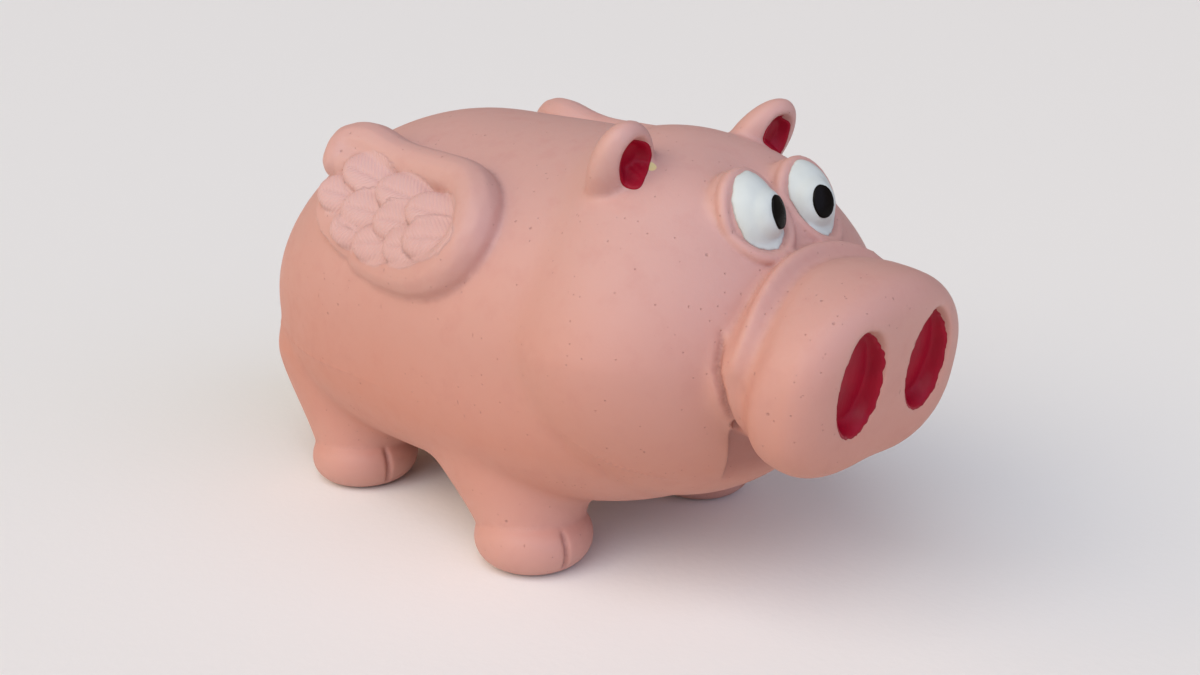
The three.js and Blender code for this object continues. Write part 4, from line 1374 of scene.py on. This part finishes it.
def marks(tree, vector, spacing, inner, outer, chance):
    """Scattered marks: 1 within the inner radius of a cell's point and 0 beyond the outer one."""
    cells = add(tree, "TexVoronoi", {"Vector": vector, "Scale": every(spacing)})
    draw = add(tree, "SeparateColor", {"Color": cells.outputs["Color"]})
    kept = add(tree, "Math", {0: draw.outputs["Red"], 1: 1 - chance}, operation="GREATER_THAN")
    size = {"From Min": inner / spacing, "From Max": outer / spacing, "To Min": 1.0, "To Max": 0.0}
    dot = add(tree, "MapRange", {"Value": cells.outputs["Distance"], **size})
    return add(tree, "Math", {0: dot, 1: kept}, operation="MULTIPLY")


latex, tree, spot = new_finish("poured pink latex")
drift = add(tree, "TexNoise", {"Vector": spot, "Scale": every(40), "Detail": 2.0})
place = add(tree, "SeparateXYZ", {"Vector": spot})
# Painted light: the pink is warmer near belly height, for warm light bounced from below, and rosier and
# lighter away from it, for cool light from above. The drift noise varies this at random.
above_belly = add(tree, "Math", {0: place.outputs["Z"], 1: WARM_LIT_Z * MM}, operation="SUBTRACT")
from_belly = add(tree, "Math", {0: above_belly}, operation="ABSOLUTE")
cool_lit_range = {"From Max": COOL_LIT_FROM * MM, "To Min": -0.17, "To Max": 0.83}
cool_lit_share = add(tree, "MapRange", {"Value": from_belly, **cool_lit_range})
rosy = add(tree, "Math", {0: drift, 1: DRIFT, 2: cool_lit_share}, operation="MULTIPLY_ADD")
mottle = add(tree, "TexNoise", {"Vector": spot, "Scale": every(6), "Detail": 4.0, "Roughness": 0.6})
deep = add(tree, "MapRange", {"Value": mottle, "From Min": 0.52, "From Max": 0.8, "To Max": 0.22})

# Pinholes are about 0.2 mm on the toy, and are drawn 0.3 to 0.5 mm so that they show. Nicks are
# stretched pits.
stretch = {"Rotation": (0.6, 0.5, 0.9), "Scale": (1.0, 1.0, 0.28)}
stretched_spot = add(tree, "Mapping", {"Vector": spot, **stretch})
pinholes = marks(tree, spot, 1.4, 0.06, 0.21, 0.2)
pits = marks(tree, spot, 5.0, 0.16, 0.36, 0.4)
nicks = marks(tree, stretched_spot, 1.9, 0.08, 0.2, 0.1)
dots = add(tree, "Math", {0: pinholes, 1: pits}, operation="MAXIMUM")
pinhole = add(tree, "Math", {0: dots, 1: nicks}, operation="MAXIMUM")
pitted = add(tree, "Math", {0: pinhole, 1: PINHOLE_SHARE}, operation="MULTIPLY")

# Creases, from the attribute, are a darker red: partly dust and skin grease, partly painted shade.
crease = add(tree, "Attribute", attribute_name="crease")
crease_dust_and_shade = add(tree, "Math", {0: crease.outputs["Fac"], 1: CREASE_DUST_AND_SHADE_SHARE}, operation="MULTIPLY")

# The feathers' barbs, from the attribute in millimetres. They are 0.6 mm apart on the toy, and drawn 1
# mm apart. The feathers are painted a paler, cooler pink than the flank, as painted cool light from
# above.
feather = add(tree, "Attribute", attribute_name="feather")
leaf = add(tree, "SeparateXYZ", {"Vector": feather.outputs["Vector"]})
# Painted light: a paler, cooler pink on the feathers, for cool light from above.
feather_cool_lit = add(tree, "Math", {0: leaf.outputs["Z"], 1: FEATHER_COOL_LIT_SHARE}, operation="MULTIPLY")
off_rib = add(tree, "Math", {0: leaf.outputs["Y"]}, operation="ABSOLUTE")
slant = add(tree, "Math", {0: off_rib, 1: -BARB_SLANT, 2: leaf.outputs["X"]}, operation="MULTIPLY_ADD")
barb_turn = add(tree, "Math", {0: slant, 1: 2 * math.pi / BARB_SPACING}, operation="MULTIPLY")
barb = add(tree, "Math", {0: barb_turn}, operation="SINE")
barb_height = add(tree, "Math", {0: barb, 1: BARB_HEIGHT}, operation="MULTIPLY")
leaf_relief = add(tree, "Math", {0: barb_height, 1: leaf.outputs["Z"]}, operation="MULTIPLY")

# A flake of raw, unpigmented latex beside the right ear's dab.
flake_gap = add(tree, "VectorMath", {0: spot, 1: FLAKE_PLACE * MM}, operation="DISTANCE")
flake_edge = {"From Min": 0.9 * MM, "From Max": 1.1 * MM, "To Min": 1.0, "To Max": 0.0}
flake = add(tree, "MapRange", {"Value": flake_gap, **flake_edge})

layers = [(rosy, PINK_COOL_LIT), (deep, PINK_DEEP), (pitted, PINHOLE), (crease_dust_and_shade, CREASE_DUST_AND_SHADE)]
layers += [(feather_cool_lit, PINK_FEATHER_COOL_LIT), (flake, RAW_LATEX)]
colour = PINK_WARM_LIT
for share, over in layers:
    colour = add(tree, "Mix", {"Factor": share, COLOUR_A: colour, COLOUR_B: over}, data_type="RGBA")

# Plaster grain, pits and feathers as one height in millimetres.
grain = add(tree, "TexNoise", {"Vector": spot, "Scale": every(0.9), "Detail": 3.0, "Roughness": 0.65})
grained = add(tree, "Math", {0: grain, 1: GRAIN_HEIGHT, 2: leaf_relief}, operation="MULTIPLY_ADD")
height = add(tree, "Math", {0: pinhole, 1: -PINHOLE_DEPTH, 2: grained}, operation="MULTIPLY_ADD")
bump = add(tree, "Bump", {"Height": height, "Strength": 0.6, "Distance": MM})
rough_range = {"From Min": 0.3, "From Max": 0.7, "To Min": 0.5, "To Max": 0.62}
rough = add(tree, "MapRange", {"Value": mottle, **rough_range})
end_finish(
    tree,
    {
        "Base Color": colour,
        "Roughness": rough,
        "Normal": bump,
        "IOR": 1.52,
        "Specular IOR Level": 0.5,
        "Subsurface Weight": 0.1,
        "Subsurface Radius": (1.0, 0.45, 0.35),
        "Subsurface Scale": 0.0014,
    },
)
wear(skin, latex)
wear(plug, latex)
print(latex.name, "has", len(tree.nodes), "nodes")

# %% [markdown]
# ### Coloured latex
#
# The dabs are latex too, with more pigment, laid on by brush. They set smoother than the plaster's
# face, so they are satin, and the black is glossy. A stretched noise stands for the drag of the brush.

# %% Coloured latex
WHITE = linear("#D5DBD4")
WHITE_DULL = linear("#C3C9C2")
CRIMSON = linear("#A30C26")
CRIMSON_DEEP = linear("#880B23")
BLACK = linear("#0B0908")
BLACK_BROWN = linear("#130F0C")


def brushed_latex(name, colour, other, roughness, drag, shine=0.15):
    material, tree, spot = new_finish(name)
    stretched = add(tree, "Mapping", {"Vector": spot, "Scale": (1.0, 1.0, 0.3)})
    strokes = add(tree, "TexNoise", {"Vector": stretched, "Scale": every(1.6), "Detail": 4.0})
    pools = add(tree, "TexNoise", {"Vector": spot, "Scale": every(5), "Detail": 2.0})
    tint = add(tree, "Mix", {"Factor": pools, COLOUR_A: colour, COLOUR_B: other}, data_type="RGBA")
    spread = {"From Min": 0.3, "From Max": 0.7, "To Min": roughness - 0.05, "To Max": roughness + 0.08}
    rough = add(tree, "MapRange", {"Value": strokes, **spread})
    bump = add(tree, "Bump", {"Height": strokes, "Strength": drag, "Distance": 0.3 * MM})
    looks = {"Base Color": tint, "Roughness": rough, "Normal": bump}
    end_finish(tree, {**looks, "IOR": 1.5, "Specular IOR Level": shine})
    return material


white = brushed_latex("white latex dab", WHITE, WHITE_DULL, 0.36, 0.25)
black = brushed_latex("black latex dab", BLACK, BLACK_BROWN, 0.26, 0.08, 0.07)
crimson = brushed_latex("crimson latex dab", CRIMSON, CRIMSON_DEEP, 0.36, 0.3)
coat_finishes = {
    "eye_white": (white, "white_latex"),
    "pupil": (black, "black_latex"),
    "nostril_paint": (crimson, "crimson_latex"),
    "ear_paint": (crimson, "crimson_latex"),
}
for node, made in coats.items():
    wear(made, coat_finishes[node.split("_", 1)[1]][0])
print("coat finishes:", sorted(coat_finishes))

# %% [markdown]
# ### Fibre and plastics
#
# Polyester fibre is a tangle of fine white threads: a stretched noise at two scales breaks the surface
# up, and sheen stands for the fuzz. The squeaker is milky polyethylene with a faint moulded grain, the
# bellows are a thinner blown sheet, and the reed is a slip of film.

# %% Fibre and plastics
FIBRE_SHADED = linear("#D9D4C8")
FIBRE_WHITE = linear("#F6F4EE")


def tangled_fibre():
    material, tree, spot = new_finish("polyester fibre")
    swirl = add(tree, "TexNoise", {"Vector": spot, "Scale": every(7), "Detail": 3.0, "Distortion": 1.5})
    fine = {"Scale": 38.0, "Detail": 6.0, "Roughness": 0.7}
    threads = add(tree, "TexNoise", {"Vector": swirl.outputs["Color"], **fine})
    shades = {COLOUR_A: FIBRE_SHADED, COLOUR_B: FIBRE_WHITE}
    tint = add(tree, "Mix", {"Factor": threads, **shades}, data_type="RGBA")
    bump = add(tree, "Bump", {"Height": threads, "Strength": 0.9, "Distance": 1.2 * MM})
    looks = {"Base Color": tint, "Normal": bump, "Roughness": 0.95}
    end_finish(tree, {**looks, "Sheen Weight": 0.4, "Sheen Roughness": 0.5})
    return material


def moulded_plastic(name, colour, other, roughness):
    material, tree, spot = new_finish(name)
    cloud = add(tree, "TexNoise", {"Vector": spot, "Scale": every(8), "Detail": 3.0})
    tint = add(tree, "Mix", {"Factor": cloud, COLOUR_A: colour, COLOUR_B: other}, data_type="RGBA")
    grain = add(tree, "TexNoise", {"Vector": spot, "Scale": every(0.5), "Detail": 2.0})
    bump = add(tree, "Bump", {"Height": grain, "Strength": 0.2, "Distance": 0.1 * MM})
    spread = {"From Min": 0.3, "From Max": 0.7, "To Min": roughness - 0.06, "To Max": roughness + 0.06}
    rough = add(tree, "MapRange", {"Value": cloud, **spread})
    looks = {"Base Color": tint, "Roughness": rough, "Normal": bump}
    end_finish(tree, {**looks, "IOR": 1.51, "Subsurface Weight": 0.1, "Subsurface Scale": 0.002})
    return material


fibre = tangled_fibre()
milky = moulded_plastic("milky polyethylene", linear("#E8E5DA"), linear("#DEDACB"), 0.42)
blown = moulded_plastic("blown polyethylene", linear("#DAD9D1"), linear("#CFCDC2"), 0.5)
film = moulded_plastic("reed film", linear("#B9C4C9"), linear("#A9B6BD"), 0.25)
for made in wads.values():
    wear(made, fibre)
cad_nodes = frame["nodes"]
for made in (squeaker_base, squeaker_crown, cad_nodes["whistle_barrel"], cad_nodes["whistle_clip"]):
    wear(made, milky)
wear(bellows, blown)
wear(cad_nodes["whistle_reed"], film)
print("finishes in all:", len(bpy.data.materials))

# %% [markdown]
# ## Riding on the frame
#
# Each piece says which CAD nodes it stands for, which body carries it and which of the record's
# finishes it has. The CAD nodes that a piece stands for are hidden. The squeaker's crown rides on a body
# of its own, and every other piece rides on the toy.

# %% Bodies
TRAVEL = 8.0
SQUEEZE = 1 - TRAVEL / crown_high.z
BELLOWS_SQUEEZE = 1 - TRAVEL / bellows_high.z
SKIN_NODES = ["torso_skin", "head_skin", "snout_skin", "tail_skin"]
PAIRED_FORMS = ("ear", "wing", "front_leg", "rear_leg")
SKIN_NODES += [f"{hand}_{form}_skin" for hand in SIDES for form in PAIRED_FORMS]

soft_pieces = [(skin, SKIN_NODES, "pink_latex"), (plug, ["belly_plug"], "pink_latex")]
soft_pieces += [(made, [node], coat_finishes[node.split("_", 1)[1]][1]) for node, made in coats.items()]
soft_pieces += [(made, [node], "fibre") for node, made in wads.items()]
for made, nodes, slot in soft_pieces:
    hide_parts(*nodes)
    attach(made, "toy")
    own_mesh(made)

hard_pieces = [
    (squeaker_base, "squeaker_base", "toy", "milky_plastic"),
    (squeaker_crown, "squeaker_crown", "crown", "milky_plastic"),
    (bellows, "squeaker_bellows", "toy", "soft_plastic"),
]
for made, node, carrier, slot in hard_pieces:
    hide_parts(node)
    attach(made, carrier)
for made, keep in ((squeaker_base, SQUEEZE), (bellows, BELLOWS_SQUEEZE)):
    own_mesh(made)
print(len(soft_pieces), "soft and", len(hard_pieces), "hard pieces ride on the frame")

# %% [markdown]
# ## Floor and light
#
# A pale floor and three large soft lamps. The key shines from in front and above, and is a little cool.
# A warm lamp stands on the picture's left, and a cool one on its right, which turns the snout's far
# side lilac.

# %% Floor and light
LAMPS = [
    ("key", (0.2, -0.65, 0.75), 1.9, "#ECF3FF"),
    ("warm side", (-0.45, -0.85, 0.45), 1.1, "#FFE0B8"),
    ("cool side", (0.85, 0.0, 0.5), 1.05, "#C6D2FF"),
]
LAMP_SPREAD = math.radians(60)
FLOOR_SIZE = 3.0

floor_form = bmesh.new()
bmesh.ops.create_grid(floor_form, x_segments=2, y_segments=2, size=FLOOR_SIZE)
floor = as_object("floor", mesh_of(floor_form, "floor"))
paper, tree, spot = new_finish("white paper")
tooth = add(tree, "TexNoise", {"Vector": spot, "Scale": every(2)})
tooth_bump = add(tree, "Bump", {"Height": tooth, "Strength": 0.05, "Distance": MM})
end_finish(tree, {"Base Color": linear("#F2F2EC"), "Roughness": 0.8, "Normal": tooth_bump})
wear(floor, paper)

for name, place, strength, colour in LAMPS:
    lamp = as_object(name, bpy.data.lights.new(name, "SUN"))
    lamp.data.energy = strength
    lamp.data.angle = LAMP_SPREAD
    lamp.data.color = linear(colour)[:3]
    lamp.location = place
    lamp.rotation_euler = (-Vector(place)).to_track_quat("-Z", "Y").to_euler()
world = bpy.data.worlds.new("studio")
world.use_nodes = True
world.node_tree.nodes["Background"].inputs["Color"].default_value = linear("#FFF2EA")
world.node_tree.nodes["Background"].inputs["Strength"].default_value = 0.25
bpy.context.scene.world = world
bpy.context.scene.view_settings.view_transform = "Standard"
print("lamps:", [lamp[0] for lamp in LAMPS])
